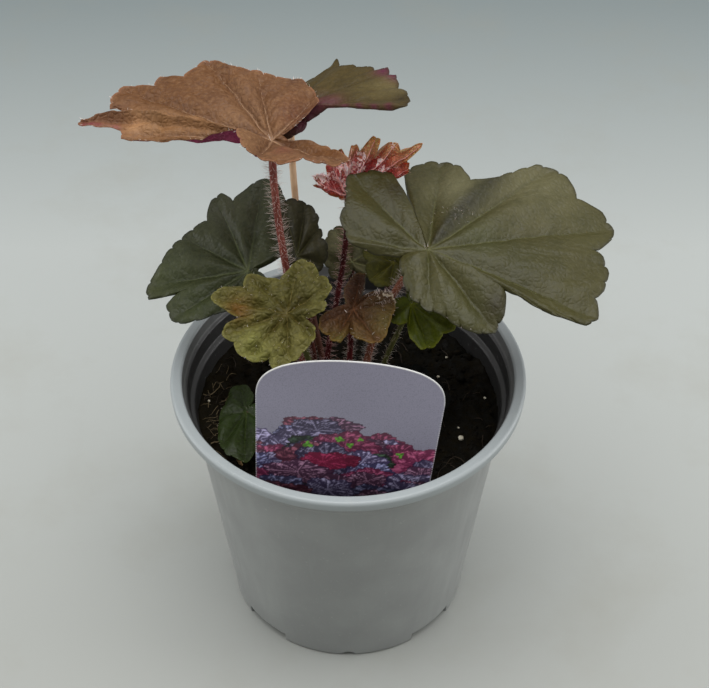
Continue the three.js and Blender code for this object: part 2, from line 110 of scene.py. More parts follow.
def addAttributes(mesh, attributes):
    for key, values in attributes.items():
        values = np.asarray(values, np.float32)
        width = 1 if values.ndim == 1 else values.shape[1]
        kind, field = {1: ("FLOAT", "value"), 3: ("FLOAT_VECTOR", "vector"), 4: ("FLOAT_COLOR", "color")}[width]
        mesh.attributes.new(key, kind, "POINT").data.foreach_set(field, values.ravel())


def addPiece(name, mesh, materials=()):
    piece = bpy.data.objects.new(name, mesh)
    for material in materials:
        mesh.materials.append(material)
    bpy.context.scene.collection.objects.link(piece)
    return piece


def trianglesOf(piece):
    return sum(len(face.vertices) - 2 for face in piece.data.polygons)


# the piece rides on the plant's one body. Where a node is named, it stands for that node
def settle(piece, node=None):
    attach(piece, "root")
    if node:
        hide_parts(node)
    print("made", piece.name, trianglesOf(piece), "triangles")


def joined(name, pieces):
    with bpy.context.temp_override(active_object=pieces[0], object=pieces[0],
                                   selected_editable_objects=pieces, selected_objects=pieces):
        bpy.ops.object.join()
    pieces[0].name = pieces[0].data.name = name
    return pieces[0]


# the piece as its modifiers leave it, as a plain mesh
def settledMesh(piece, name):
    bpy.context.view_layer.update()
    graph = bpy.context.evaluated_depsgraph_get()
    mesh = bpy.data.meshes.new_from_object(piece.evaluated_get(graph), depsgraph=graph)
    mesh.name = name
    piece.modifiers.clear()
    return mesh


# how far places are from the nearest of some dots, on a plane
def nearestTo(dots):
    finder = kdtree.KDTree(len(dots))
    for n, dot in enumerate(dots):
        finder.insert((*dot, 0), n)
    finder.balance()
    return lambda x, y: np.array([finder.find((a, b, 0))[2] for a, b in zip(x, y)])


# value noise on a plane, for relief: size in millimetres
def noise(x, y, size, seed):
    table = np.random.default_rng(seed).uniform(-1, 1, (64, 64))
    u, v = np.asarray(x) / size + 1000, np.asarray(y) / size + 1000
    i, j = np.floor(u).astype(int), np.floor(v).astype(int)
    s, t = u - i, v - j
    s, t = s * s * (3 - 2 * s), t * t * (3 - 2 * t)
    low = table[i % 64, j % 64] * (1 - s) + table[(i + 1) % 64, j % 64] * s
    high = table[i % 64, (j + 1) % 64] * (1 - s) + table[(i + 1) % 64, (j + 1) % 64] * s
    return low * (1 - t) + high * t


def newTree(name, sockets):
    tree = bpy.data.node_groups.new(name, "GeometryNodeTree")
    tree.interface.new_socket("Geometry", in_out="OUTPUT", socket_type="NodeSocketGeometry")
    tree.interface.new_socket("Geometry", in_out="INPUT", socket_type="NodeSocketGeometry")
    for label, kind, default in sockets:
        socket = tree.interface.new_socket(label, in_out="INPUT", socket_type="NodeSocket" + kind)
        if default is not None:
            socket.default_value = default
    return tree, addNode(tree, "NodeGroupInput", {}).outputs, addNode(tree, "NodeGroupOutput", {})


def runTree(tree, piece, name, values):
    modifier = piece.modifiers.new(tree.name, "NODES")
    modifier.node_group = tree
    for item in tree.interface.items_tree:
        if item.in_out == "INPUT" and item.name in values:
            modifier[item.identifier] = values[item.name]
    return addPiece(name, settledMesh(piece, name))


# the end of every tree: real geometry in one material
def closeTree(tree, given, outlet, geometry):
    real = addNode(tree, "GeometryNodeRealizeInstances", {"Geometry": geometry})
    painted = addNode(tree, "GeometryNodeSetMaterial", {"Geometry": real, "Material": given["Material"]})
    tree.links.new(painted.outputs[0], outlet.inputs[0])
    return tree


# a round rod along each path of the mesh, as thick as the attribute "girth" says
def rodTree():
    tree, given, outlet = newTree("rodAlongPath", [("Sides", "Int", 10), ("Material", "Material", None)])
    path = addNode(tree, "GeometryNodeMeshToCurve", {"Mesh": given["Geometry"]})
    girth = addNode(tree, "GeometryNodeInputNamedAttribute", {"data_type": "FLOAT", "Name": "girth"})
    section = addNode(tree, "GeometryNodeCurvePrimitiveCircle", {"Radius": 1.0, "Resolution": given["Sides"]})
    rod = addNode(tree, "GeometryNodeCurveToMesh", {
        "Curve": path, "Profile Curve": section, "Fill Caps": True, "Scale": girth})
    return closeTree(tree, given, outlet, addNode(tree, "GeometryNodeSetShadeSmooth", {"Geometry": rod}))


# copies of a small shape over a surface, dense where the attribute "fuzz" is high and as long as "nap"
# says. They stand along the surface's normal plus the attribute "lean"
def scatterTree():
    tree, given, outlet = newTree("scatterOverSurface", [
        ("Shape", "Object", None), ("Density", "Float", 1000.0), ("Size", "Float", 1.0), ("Smallest", "Float", 0.6),
        ("Spread", "Float", 0.3), ("Seed", "Int", 1), ("Material", "Material", None)])
    seed = given["Seed"]
    fuzz, lean, nap = (addNode(tree, "GeometryNodeInputNamedAttribute", {"data_type": kind, "Name": key})
                       for kind, key in (("FLOAT", "fuzz"), ("FLOAT_VECTOR", "lean"), ("FLOAT", "nap")))
    thick = addNode(tree, "ShaderNodeMath", {"operation": "MULTIPLY", 0: given["Density"], 1: fuzz})
    points = addNode(tree, "GeometryNodeDistributePointsOnFaces", {
        "Mesh": given["Geometry"], "Density": thick, "Seed": seed})
    jitter = addNode(tree, "FunctionNodeRandomValue", {
        "data_type": "FLOAT_VECTOR", 0: (-1, -1, -1), 1: (1, 1, 1), "Seed": seed})
    stray = addNode(tree, "ShaderNodeVectorMath", {"operation": "SCALE", 0: jitter, "Scale": given["Spread"]})
    towards = addNode(tree, "ShaderNodeVectorMath", {0: points.outputs["Normal"], 1: lean})
    aimed = addNode(tree, "ShaderNodeVectorMath", {0: towards, 1: stray})
    stand = addNode(tree, "FunctionNodeAlignRotationToVector", {"axis": "Z", "Vector": aimed})
    turn = addNode(tree, "FunctionNodeRandomValue", {
        "data_type": "FLOAT_VECTOR", 0: (0, 0, 0), 1: (0, 0, 6.283), "Seed": seed})
    spun = addNode(tree, "FunctionNodeRotateRotation", {"rotation_space": "LOCAL", 0: stand, 1: turn})
    size = addNode(tree, "FunctionNodeRandomValue", {"data_type": "FLOAT", 2: given["Smallest"], 3: 1.15, "Seed": seed})
    grown = addNode(tree, "ShaderNodeMath", {"operation": "MULTIPLY", 0: size.outputs[1], 1: nap})
    scale = addNode(tree, "ShaderNodeMath", {"operation": "MULTIPLY", 0: grown, 1: given["Size"]})
    shape = addNode(tree, "GeometryNodeObjectInfo", {"Object": given["Shape"]}).outputs["Geometry"]
    return closeTree(tree, given, outlet, addNode(tree, "GeometryNodeInstanceOnPoints", {
        "Points": points, "Instance": shape, "Rotation": spun, "Scale": scale}))


rodAlongPath = rodTree()
scatterOverSurface = scatterTree()
print("trees built")


# paths: lists of (point, girth) in millimetres
def rods(name, paths, material, sides=10):
    points = [place for path in paths for place in path]
    edges, start = [], 0
    for path in paths:
        edges += [(i, i + 1) for i in range(start, start + len(path) - 1)]
        start += len(path)
    carrier = addPiece(name + "Paths", makeMesh(name + "Paths", [point for point, girth in points], [], {
        "girth": [girth * mm for point, girth in points]}, edges=edges))
    rod = runTree(rodAlongPath, carrier, name, {"Sides": sides, "Material": material})
    bpy.data.objects.remove(carrier)
    return rod


# one hair, a millimetre long: three sides, bent over towards its tip
def hairShape(name, bend, width, steps=4):
    vertices, faces = [], []
    for k in range(steps):
        t = k / steps
        for i in range(3):
            a, w = i * 2 * math.pi / 3, width * (1 - 0.7 * t)
            vertices.append((bend * t * t + w * math.cos(a), w * math.sin(a), t))
    vertices.append((bend, 0, 1))
    for k in range(steps - 1):
        for i in range(3):
            j = (i + 1) % 3
            faces.append((3 * k + i, 3 * k + j, 3 * k + 3 + j, 3 * k + 3 + i))
    top = 3 * (steps - 1)
    faces += [(top, top + 1, 3 * steps), (top + 1, top + 2, 3 * steps), (top + 2, top, 3 * steps), (2, 1, 0)]
    return addPiece(name, makeMesh(name, vertices, faces))


# one grain, about a millimetre across: an uneven lump
def grainShape(name, seed, detail, squash=0.8):
    rng = random.Random(seed)
    g = (1 + math.sqrt(5)) / 2
    vertices = [(-1, g, 0), (1, g, 0), (-1, -g, 0), (1, -g, 0), (0, -1, g), (0, 1, g), (0, -1, -g), (0, 1, -g),
                (g, 0, -1), (g, 0, 1), (-g, 0, -1), (-g, 0, 1)]
    faces = [(0, 11, 5), (0, 5, 1), (0, 1, 7), (0, 7, 10), (0, 10, 11), (1, 5, 9), (5, 11, 4), (11, 10, 2),
             (10, 7, 6), (7, 1, 8), (3, 9, 4), (3, 4, 2), (3, 2, 6), (3, 6, 8), (3, 8, 9), (4, 9, 5), (2, 4, 11),
             (6, 2, 10), (8, 6, 7), (9, 8, 1)]
    for _ in range(detail):
        middles, finer = {}, []
        for corner in faces:
            ends = []
            for p, q in zip(corner, corner[1:] + corner[:1]):
                edge = (min(p, q), max(p, q))
                if edge not in middles:
                    middles[edge] = len(vertices)
                    vertices.append(tuple((vertices[p][k] + vertices[q][k]) / 2 for k in range(3)))
                ends.append(middles[edge])
            finer += [(corner[k], ends[k], ends[k - 1]) for k in range(3)] + [tuple(ends)]
        faces = finer
    spread = []
    for v in vertices:
        out = Vector(v).normalized() * 0.5 * rng.uniform(0.78, 1.2)
        spread.append((out.x * 1.2, out.y, out.z * squash))
    return addPiece(name, makeMesh(name, spread, faces))


hair = hairShape("hairShape", 0.35, 0.022)
stoutHair = hairShape("stoutHairShape", 0.4, 0.05)
shapes = [hair, stoutHair]


# Pot. Each point of its profile: radius, height and rounding, from the middle of the base round the rim
pot = dict(segments=192, corner=4, footInner=37.5, footOuter=45, gapHalf=12.5, gapRise=4.2,
           notchHalf=2.6, notchRise=2.08, notchFrom=36.4, holeRadius=3.2, holeCircle=27, cutDepth=12, firstInside=20,
           profile=[
               (0, 0, 0), (14, 0, 0.4), (15.2, 4.6, 0.4), (36.6, 4.6, 0.3), (37.5, 0, 0.3), (45, 0, 0.3),
               (45.5, 0.5, 0.3), (46, 5.8, 1.6), (57.4, 95.8, 2), (59.2, 97, 1), (59.9, 102.6, 0.9),
               (61, 103.6, 0.4), (61.4, 106.6, 0.1), (63.6, 106.8, 0.15), (63.8, 104.6, 0.1), (64.75, 104.6, 0.3),
               (65, 107.6, 0.8), (64.1, 108.5, 0.5), (61.3, 108.42, 0.3), (60.7, 107.9, 0.35), (60.2, 104.1, 0.4),
               (58.9, 103.1, 0.5), (58.3, 97.6, 0.5), (56.45, 96.4, 0.7), (45.05, 6.8, 0.5), (43.85, 5.8, 0.3),
               (0, 5.8, 0)])


# corners rounded off in a few steps
def rounded(profile, steps):
    points = []
    for i, (r, z, radius) in enumerate(profile):
        if radius == 0:
            points.append((r, z, i))
            continue
        here = Vector((r, z))
        before, after = Vector(profile[i - 1][:2]) - here, Vector(profile[i + 1][:2]) - here
        a = here + before.normalized() * min(radius, 0.45 * before.length)
        b = here + after.normalized() * min(radius, 0.45 * after.length)
        for k in range(steps + 1):
            t = k / steps
            p = a * (1 - t) ** 2 + here * 2 * t * (1 - t) + b * t * t
            points.append((p.x, p.y, i))
    return points


def turnedMesh(name, points, segments, firstInside=None):
    vertices, faces, slots, rows = [], [], [], []
    for r, z, _ in points:
        rows.append((len(vertices), 1 if r == 0 else segments))
        for k in range(rows[-1][1]):
            a = 2 * math.pi * k / segments
            vertices.append((r * math.cos(a), r * math.sin(a), z))
    for (a, n), (b, m), point in zip(rows, rows[1:], points[1:]):
        for k in range(segments):
            j = (k + 1) % segments
            if n == 1:
                faces.append((b + j, b + k, a))
            elif m == 1:
                faces.append((a + k, a + j, b))
            else:
                faces.append((a + k, a + j, b + j, b + k))
            slots.append(1 if firstInside and point[2] >= firstInside else 0)
    return makeMesh(name, vertices, faces, slots=slots)


# injection moulded polypropylene: satin with a fine orange peel, a little dust and handling marks, and painted light
# that makes the rim and the top of the inner collar lighter from 104 mm up
def potFinish(name, base, dusty, paintedRimLight, roughness):
    material, tree, place = newFinish(name)
    cloud = addNode(tree, "ShaderNodeTexNoise", {"Vector": place, "Scale": 45.0, "Detail": 4.0})
    fleck = addNode(tree, "ShaderNodeTexNoise", {"Vector": place, "Scale": 900.0, "Detail": 2.0})
    peel = addNode(tree, "ShaderNodeTexNoise", {"Vector": place, "Scale": 1600.0, "Detail": 1.0})
    drawn = addNode(tree, "ShaderNodeMapping", {"Vector": place, "Scale": (1, 1, 0.08)})
    scuff = addNode(tree, "ShaderNodeTexNoise", {"Vector": drawn, "Scale": 210.0, "Detail": 6.0})
    height = addNode(tree, "ShaderNodeSeparateXYZ", {0: place}).outputs[2]
    return finished(material, {"IOR": 1.49}, base, [
        (cloud, dusty, 0.42, 0.8, 0.5), (height, paintedRimLight, 0.1035, 0.1045, 0.8), (fleck, "#b4b6b2", 0.66, 0.8, 0.3),
        (scuff, dusty, 0.6, 0.75, 0.3)], (scuff, 0.3, 0.7, roughness - 0.05, roughness + 0.1), (peel, 0.12, 0.0001))


# an outline pushed along an axis, for cutting
def pushed(outline, depth, place):
    n = len(outline)
    vertices = [place(x, y, 0) for x, y in outline] + [place(x, y, depth) for x, y in outline]
    faces = [tuple(range(n))[::-1], tuple(range(n, 2 * n))]
    return vertices, faces + [(k, (k + 1) % n, n + (k + 1) % n, n + k) for k in range(n)]


def makePot():
    # the last colour of each is painted light on the rim and the top of the inner collar
    outside = potFinish("satinGreyPolypropylene", "#848685", "#9a9d9b", "#92999b", 0.36)
    inside = potFinish("darkInnerPolypropylene", "#2d2d2d", "#3a3937", "#747675", 0.42)
    shell = addPiece("potShell", turnedMesh("potShell", rounded(pot["profile"], pot["corner"]), pot["segments"],
                                            pot["firstInside"]), [outside, inside])
    vertices, faces = [], []

    def cut(outline, depth, place):
        points, sides = pushed(outline, depth, place)
        faces.extend(tuple(i + len(vertices) for i in side) for side in sides)
        vertices.extend(points)

    half, low, high = math.radians(pot["gapHalf"]), pot["footInner"] - 3, pot["footOuter"] + 8
    start = pot["notchFrom"]
    spans = [half * (k / 4 - 1) for k in range(9)]
    sector = [(high * math.cos(a), high * math.sin(a)) for a in spans]
    sector += [(low * math.cos(a), low * math.sin(a)) for a in reversed(spans)]
    ring = [2 * math.pi * k / 32 for k in range(32)]
    arch = [(pot["notchHalf"] * math.cos(a), pot["notchRise"] * math.sin(a)) for a in ring]
    bore = [(pot["holeCircle"] + pot["holeRadius"] * math.cos(a), pot["holeRadius"] * math.sin(a)) for a in ring]
    for i in range(4):
        c, s = math.cos(math.radians(90 * i + 45)), math.sin(math.radians(90 * i + 45))
        cut(sector, 2 * pot["gapRise"], lambda x, y, z: (x * c - y * s, x * s + y * c, z - pot["gapRise"]))
        c, s = math.cos(math.radians(90 * i)), math.sin(math.radians(90 * i))
        cut(arch, pot["cutDepth"], lambda x, y, z: ((start + z) * c - x * s, (start + z) * s + x * c, y))
    for i in range(6):
        c, s = math.cos(math.radians(60 * i + 30)), math.sin(math.radians(60 * i + 30))
        cut(bore, pot["cutDepth"], lambda x, y, z: (x * c - y * s, x * s + y * c, z - 3))
    cutter = addPiece("potCutter", makeMesh("potCutter", vertices, faces))
    holes = shell.modifiers.new("holes", "BOOLEAN")
    holes.object, holes.operation, holes.solver = cutter, "DIFFERENCE", "EXACT"
    mesh = settledMesh(shell, "nurseryPot")
    mesh.set_sharp_from_angle(angle=math.radians(32))
    piece = addPiece("nurseryPot", mesh)
    bpy.data.objects.remove(cutter)
    bpy.data.objects.remove(shell)
    settle(piece, "pot")


makePot()

# Compost
compost = dict(top=90, edge=56.1, foot=43.5, floor=6.1, rings=92, segments=300, seed=4,
               wall=[(55.1, 88), (49.6, 45), (44.9, 8)], fibres=120, hairRoots=46,
               crumbs=[("fine", 0, 0.8, 0.24e6), ("coarse", 1, 1.7, 0.05e6), ("large", 1, 3.2, 0.007e6)],
               perlite=[(41.2, -16.2, 1.7), (34, 16, 1), (51, 4.5, 0.8), (37.5, 27, 0.8), (40.5, -11, 0.6),
                        (-52, 3, 0.8)],
               twig=[(-41.9, -23.4, 91.6, 0.5), (-41, -25.4, 91.9, 0.55), (-39.9, -27.8, 92, 0.62),
                     (-38.7, -30.2, 91.8, 0.66), (-38, -31, 91.6, 0.3)],
               rootlets=[(-54.5, 7, -0.15, 9.5), (-50, -18.5, -0.2, 6), (-49, 26, -1.2, 9)])


# the frame's own lumps, then crumbs of every size down to a millimetre
def compostHeight(x, y):
    lumps = 0.8 * np.sin(0.31 * x + 0.17 * y) * np.cos(0.27 * y - 0.12 * x)
    lumps += 0.5 * np.sin(0.83 * x - 0.4 * y + 1) * np.sin(0.71 * y + 0.3 * x)
    fine = 0.9 * noise(x, y, 6.1, 1) + 0.75 * noise(x, y, 2.9, 2)
    fine = fine + 0.45 * noise(x, y, 1.5, 3) + 0.2 * noise(x, y, 0.8, 5)
    return compost["top"] + lumps + fine - 0.3


# moist black peat: dull, nearly black, with brown fibre showing where it is drier
def peatFinish(name, dark, brown, pale):
    material, tree, place = newFinish(name)
    lump = addNode(tree, "ShaderNodeTexNoise", {"Vector": place, "Scale": 330.0, "Detail": 6.0, "Roughness": 0.7})
    grit = addNode(tree, "ShaderNodeTexVoronoi", {"Vector": place, "Scale": 1100.0}).outputs["Color"]
    drier = addNode(tree, "ShaderNodeTexNoise", {"Vector": place, "Scale": 40.0, "Detail": 3.0})
    side = addNode(tree, "ShaderNodeSeparateXYZ", {0: place})  # drier towards the pot's left
    return finished(material, {"IOR": 1.4, "Specular IOR Level": 0.15}, dark, [
        (lump, brown, 0.45, 0.72, 0.6), (drier, brown, 0.55, 0.7, 0.4), (side, brown, -0.02, -0.06, 0.5),
        (grit, pale, 0.86, 1.0, 0.35)], (lump, 0.35, 0.6, 0.55, 0.95), (lump, 0.8, 0.0005))


# one clouded colour, for what is too small to show more. Dry plant fibre and grains: dull, mottled
def cloudedFinish(name, base, dark, scale=400.0, low=0.4, high=0.65, most=0.8, detail=3.0, settings=None):
    material, tree, place = newFinish(name)
    settings = settings or {"Roughness": 0.7, "IOR": 1.4}
    cloud = addNode(tree, "ShaderNodeTexNoise", {"Vector": place, "Scale": scale, "Detail": detail})
    return finished(material, settings, base, [(cloud, dark, low, high, most)])


# a thread lying on the compost, wandering as it goes
def strand(rng, x, y, heading, length, girth, lift=0.4):
    steps = max(5, int(length / 1.1))
    bend, hump = rng.uniform(-0.16, 0.16), rng.uniform(0, 1.6)
    path = []
    for k in range(steps + 1):
        t = k / steps
        z = float(compostHeight(x, y)) + lift + hump * math.sin(math.pi * t)
        path.append(((x, y, z), girth * (1 - 0.6 * t)))
        heading += bend + rng.uniform(-0.25, 0.25)
        x += length / steps * math.cos(heading)
        y += length / steps * math.sin(heading)
        if math.hypot(x, y) > compost["edge"] - 1.2:
            break
    return [path] if len(path) > 3 else []


def makeCompost():
    peat = peatFinish("moistBlackPeat", "#080602", "#1c1607", "#30270f")
    crumbs = peatFinish("peatCrumbs", "#0a0804", "#20180a", "#3a2f1a")
    paleStraw = cloudedFinish("paleRootlets", "#7c6c50", "#3a2f1c")
    brownStraw = cloudedFinish("brownFibre", "#33271a", "#1d150d")
    perlite = cloudedFinish("perliteGrain", "#d8d2bf", "#a39c86")
    rings, segments = compost["rings"], compost["segments"]
    r = np.repeat([compost["edge"] * (k + 1) / rings for k in range(rings)], segments)
    a = np.tile(np.arange(segments) * 2 * math.pi / segments, rings)
    x, y = r * np.cos(a), r * np.sin(a)
    vertices = [(0, 0, float(compostHeight(0, 0)))] + list(zip(x, y, compostHeight(x, y)))
    for out, z in compost["wall"] + [(compost["foot"], compost["floor"])]:
        vertices += [(out * math.cos(b), out * math.sin(b), z) for b in a[:segments]]
    vertices.append((0, 0, compost["floor"]))
    faces = []
    for k in range(segments):
        j = (k + 1) % segments
        faces.append((0, 1 + k, 1 + j))
        for row in range(rings + 3):
            here, after = 1 + row * segments, 1 + (row + 1) * segments
            faces.append((here + k, after + k, after + j, here + j))
        faces.append((after + j, after + k, len(vertices) - 1))
    count = len(vertices)
    out = np.hypot(*np.array(vertices)[:, :2].T)
    top = np.arange(count) <= rings * segments
    attributes = {"fuzz": np.where(top & (out < compost["edge"] - 2.6), 1.0, 0.0), "nap": np.ones(count),
                  "lean": np.zeros((count, 3))}
    bed = addPiece("compostBed", makeMesh("compostBed", vertices, faces, attributes), [peat])
    pieces = [bed]
    for name, detail, size, density in compost["crumbs"]:
        grain = grainShape(name + "Grain", len(name), detail)
        shapes.append(grain)
        pieces.append(runTree(scatterOverSurface, bed, name + "Crumbs", {
            "Shape": grain, "Density": density, "Size": size, "Smallest": 0.4, "Spread": 1.0,
            "Seed": compost["seed"], "Material": crumbs}))
    rng = random.Random(compost["seed"])
    pale, brown = [], []
    for _ in range(compost["fibres"]):
        a, r = rng.uniform(0, 6.283), 55 * math.sqrt(rng.random())
        brown += strand(rng, r * math.cos(a), r * math.sin(a), rng.uniform(0, 6.283), rng.uniform(3, 9),
                        rng.uniform(0.1, 0.22))
    for _ in range(compost["hairRoots"]):  # rootlets lie mostly at the left, by the wall
        x, y = rng.gauss(-49, 4), rng.gauss(-4, 13)
        if math.hypot(x, y) < 54:
            pale += strand(rng, x, y, rng.uniform(0, 6.283), rng.uniform(2, 6.5), rng.uniform(0.07, 0.15))
    for x, y, heading, length in compost["rootlets"]:
        pale += strand(rng, x, y, heading, length, 0.24, 0.8)
    pieces.append(rods("paleRoots", pale, paleStraw, sides=5))
    pieces.append(rods("brownRoots", brown, brownStraw, sides=4))
    twig = [((x, y, z), girth) for x, y, z, girth in compost["twig"]]
    pieces.append(rods("twig", [twig], cloudedFinish("dryTwig", "#a5835a", "#6e5436"), sides=9))
    bits = []
    for x, y, size in compost["perlite"]:
        z = float(compostHeight(x, y)) + 0.6
        bits.append([((x - 0.5 * size, y, z), 0.35 * size), ((x - 0.2 * size, y, z + 0.1), 0.6 * size),
                     ((x + 0.25 * size, y - 0.1, z + 0.1), 0.55 * size), ((x + 0.5 * size, y - 0.1, z), 0.25 * size)])
    pieces.append(rods("perlite", bits, perlite, sides=9))
    settle(joined("compost", pieces), "soil")


makeCompost()

# Crown: the rootstock that the stems grow from
crown = dict(centre=(-4, 4.5), segments=120, seed=9, scaleSize=1.5, profile=[
    (0, 80, 0), (10.2, 80.5, 1), (14.6, 84, 2), (16.2, 88.5, 2), (15, 92.4, 2), (11.2, 95, 2), (6, 96.2, 2),
    (0, 96.5, 0)])


# woody rootstock: corky, with papery brown scales where old leaves came away
def rootstockFinish(name, base, dark, light):
    material, tree, place = newFinish(name)
    cork = addNode(tree, "ShaderNodeTexNoise", {"Vector": place, "Scale": 300.0, "Detail": 5.0})
    ring = addNode(tree, "ShaderNodeMapping", {"Vector": place, "Scale": (1, 1, 4)})
    scar = addNode(tree, "ShaderNodeTexNoise", {"Vector": ring, "Scale": 260.0, "Detail": 4.0})
    return finished(material, {"IOR": 1.4, "Specular IOR Level": 0.3, "Roughness": 0.75}, base, [
        (cork, dark, 0.4, 0.62, 0.9), (scar, light, 0.6, 0.75, 0.6)], relief=(cork, 0.7, 0.0006))


# one papery scale, a millimetre wide, curved round the rootstock
def scaleShape(name):
    vertices, faces = [], []
    for k, (z, w, out) in enumerate(((0, 0.5, 0), (0.9, 0.55, 0.12), (1.8, 0.38, 0.35), (2.6, 0.04, 0.7))):
        for lift in (0.12, 0):
            vertices += [(out + lift, -w, z), (out + lift + 0.12, 0, z), (out + lift, w, z)]
        if k:
            a, b = 6 * (k - 1), 6 * k
            faces += [(a, a + 1, b + 1, b), (a + 1, a + 2, b + 2, b + 1), (a + 4, a + 3, b + 3, b + 4),
                      (a + 5, a + 4, b + 4, b + 5), (a + 3, a, b, b + 3), (a + 2, a + 5, b + 5, b + 2)]
    faces += [(3, 4, 1, 0), (4, 5, 2, 1), (18, 19, 22, 21), (19, 20, 23, 22)]
    return addPiece(name, makeMesh(name, vertices, faces))


def makeCrown():
    bark = rootstockFinish("corkyRootstock", "#3a241a", "#1b110c", "#5c3a28")
    scales = rootstockFinish("paperyScales", "#5a3626", "#331d15", "#7c5238")
    mesh = turnedMesh("crownDome", rounded(crown["profile"], 5), crown["segments"])
    count = len(mesh.vertices)
    place = np.zeros(count * 3)
    mesh.vertices.foreach_get("co", place)
    x, y, z = (place.reshape(-1, 3) / mm).T
    knob = 1 - 0.05 * (1 + np.sin(5 * np.arctan2(y, x) + 0.5 * z))
    knob *= 1 + 0.03 * noise(x + z, y - z, 2.4, 11) + 0.02 * noise(x + z, y - z, 1.1, 12)
    moved = np.stack([x * knob + crown["centre"][0], y * knob + crown["centre"][1],
                      z + 0.5 * noise(x, y, 2.2, 13) * (z > 86)], 1)
    mesh.vertices.foreach_set("co", (moved * mm).ravel())
    addAttributes(mesh, {"fuzz": (z > 90.5) * 1.0, "nap": np.ones(count), "lean": np.tile((0, 0, 1.1), (count, 1))})
    dome = addPiece("crownDome", mesh, [bark])
    scale = scaleShape("scaleShape")
    shapes.append(scale)
    flakes = runTree(scatterOverSurface, dome, "crownScales", {
        "Shape": scale, "Density": 0.5e6, "Size": crown["scaleSize"], "Spread": 0.5, "Seed": crown["seed"],
        "Material": scales})
    settle(joined("rootstock", [dome, flakes]), "crown")


makeCrown()

# Label. What is printed is a bed of round ruffled leaves: dark and light colour of each kind, and its share
label = dict(width=64.6, height=58.8, foot=(-2.5, -46.9, 90.8), lean=10, turn=4.5, thickness=0.62,
             rows=200, columns=226, margin=0.28, stakeHalf=6, stakeLength=26, seed=21, field="#868495",
             white="#d4d4d6", sprig="#6cae3c", ruffles=64, sprigs=6, kinds=[
                 ("#341430", "#c898b8", 6), ("#581438", "#d06c94", 4), ("#2c2044", "#c4bce4", 7),
                 ("#3c1428", "#a86478", 4), ("#241e40", "#a8aad8", 5), ("#641230", "#b84068", 1),
                 ("#101810", "#4c6450", 3)])


def bezier(points, count):
    t = np.linspace(0, 1, count)[:, None]
    points = [np.array(point, float) for point in points]
    while len(points) > 1:
        points = [a * (1 - t) + b * t for a, b in zip(points, points[1:])]
    return points[0]


# the card's right side, from its foot to the middle of its top
def cardSide():
    half, height = label["width"] / 2, label["height"]
    shoulder = (half - 8.5, height - 3.5)
    return np.concatenate([
        bezier([(half - 7, 0), (half - 2.4, 0), (half - 2, 6)], 12),
        bezier([(half - 2, 6), (half, height - 15.3)], 6)[1:],
        bezier([(half, height - 15.3), (half, height - 9.3), (half - 2.8, height - 6.2), shoulder], 24)[1:],
        bezier([shoulder, (17, height - 0.8), (8, height), (0, height)], 31)[1:]])


def bedTop(x):
    return 25.5 + 10 * np.exp(-((x + 5) / 15) ** 2) + 1.3 * np.sin(0.31 * x + 0.5)


def printedInks(x, y, inward):
    rng = np.random.default_rng(label["seed"])
    ink = np.tile(linear(label["field"])[:3], (len(x), 1))
    ink = ink * (1 + 0.05 * noise(x, y, 14, 5) - 0.0012 * (y - 40))[:, None]
    ground = np.clip((bedTop(x) - 4 - y) / 1.5, 0, 1)[:, None]
    ink = ink * (1 - ground) + rgb("#17151c") * ground
    kinds = [kind for kind in label["kinds"] for _ in range(kind[2])]
    spots = [(rng.uniform(0.02, 1.0), rng.uniform(-33, 33)) for _ in range(label["ruffles"])]
    for depth, cx in sorted(spots, reverse=True):
        cy = depth * bedTop(cx) - 2.5
        dark, light, _ = kinds[rng.integers(len(kinds))]
        size, squash, turn = rng.uniform(6, 12.5), rng.uniform(0.4, 0.65), rng.uniform(0, 6.283)
        dx, dy = x - cx, (y - cy) / squash
        r, a = np.hypot(dx, dy), np.arctan2(dy, dx) + turn
        share = r / (size * (1 + 0.1 * np.sin(5 * a) + 0.035 * np.sin(17 * a + 1) + 0.02 * np.sin(29 * a)))
        vein = np.exp(-(np.sin(3.5 * a) * r / 0.5) ** 2)
        streak = noise(7 * a, 0.3 * r + size, 0.8, 7) + 0.8 * noise(7 * a + r, 0.6 * r, 0.5, 8)
        glow = 0.06 + 0.75 * vein * (1 - 0.3 * share) + 0.95 * np.clip(streak, 0, 1) * np.clip(1.6 * share, 0, 1)
        glow = (np.clip(glow, 0, 1) * np.where(share > 0.94, 0.15, 1) * (0.75 + 0.35 * dy / size))[:, None]
        shade = (rng.uniform(0.6, 1.25) * (0.25 + 0.75 * np.clip((y - 2) / 12, 0, 1)))[:, None]
        tone = rgb(dark) * (1 - glow) + rgb(light) * glow
        ink = np.where((share < 1)[:, None], tone * shade, ink)
    for k in range(label["sprigs"]):
        cx, cy = rng.uniform(-24, 20), rng.uniform(14, 31)
        r, a = np.hypot(x - cx, (y - cy) * 1.3), np.arctan2(y - cy, x - cx) + k
        inside = r < rng.uniform(0.9, 1.6) * (1 + 0.35 * np.sin(3 * a))
        ink = np.where(inside[:, None], rgb(label["sprig"]) * (0.7 + 0.3 * np.cos(2 * a))[:, None], ink)
    margin = np.clip((label["margin"] - inward) / 0.16 + 0.5, 0, 1)[:, None]
    ink = ink * (1 - margin) + rgb(label["white"]) * margin
    return np.concatenate([np.clip(ink, 0, 1), np.ones((len(x), 1))], 1)


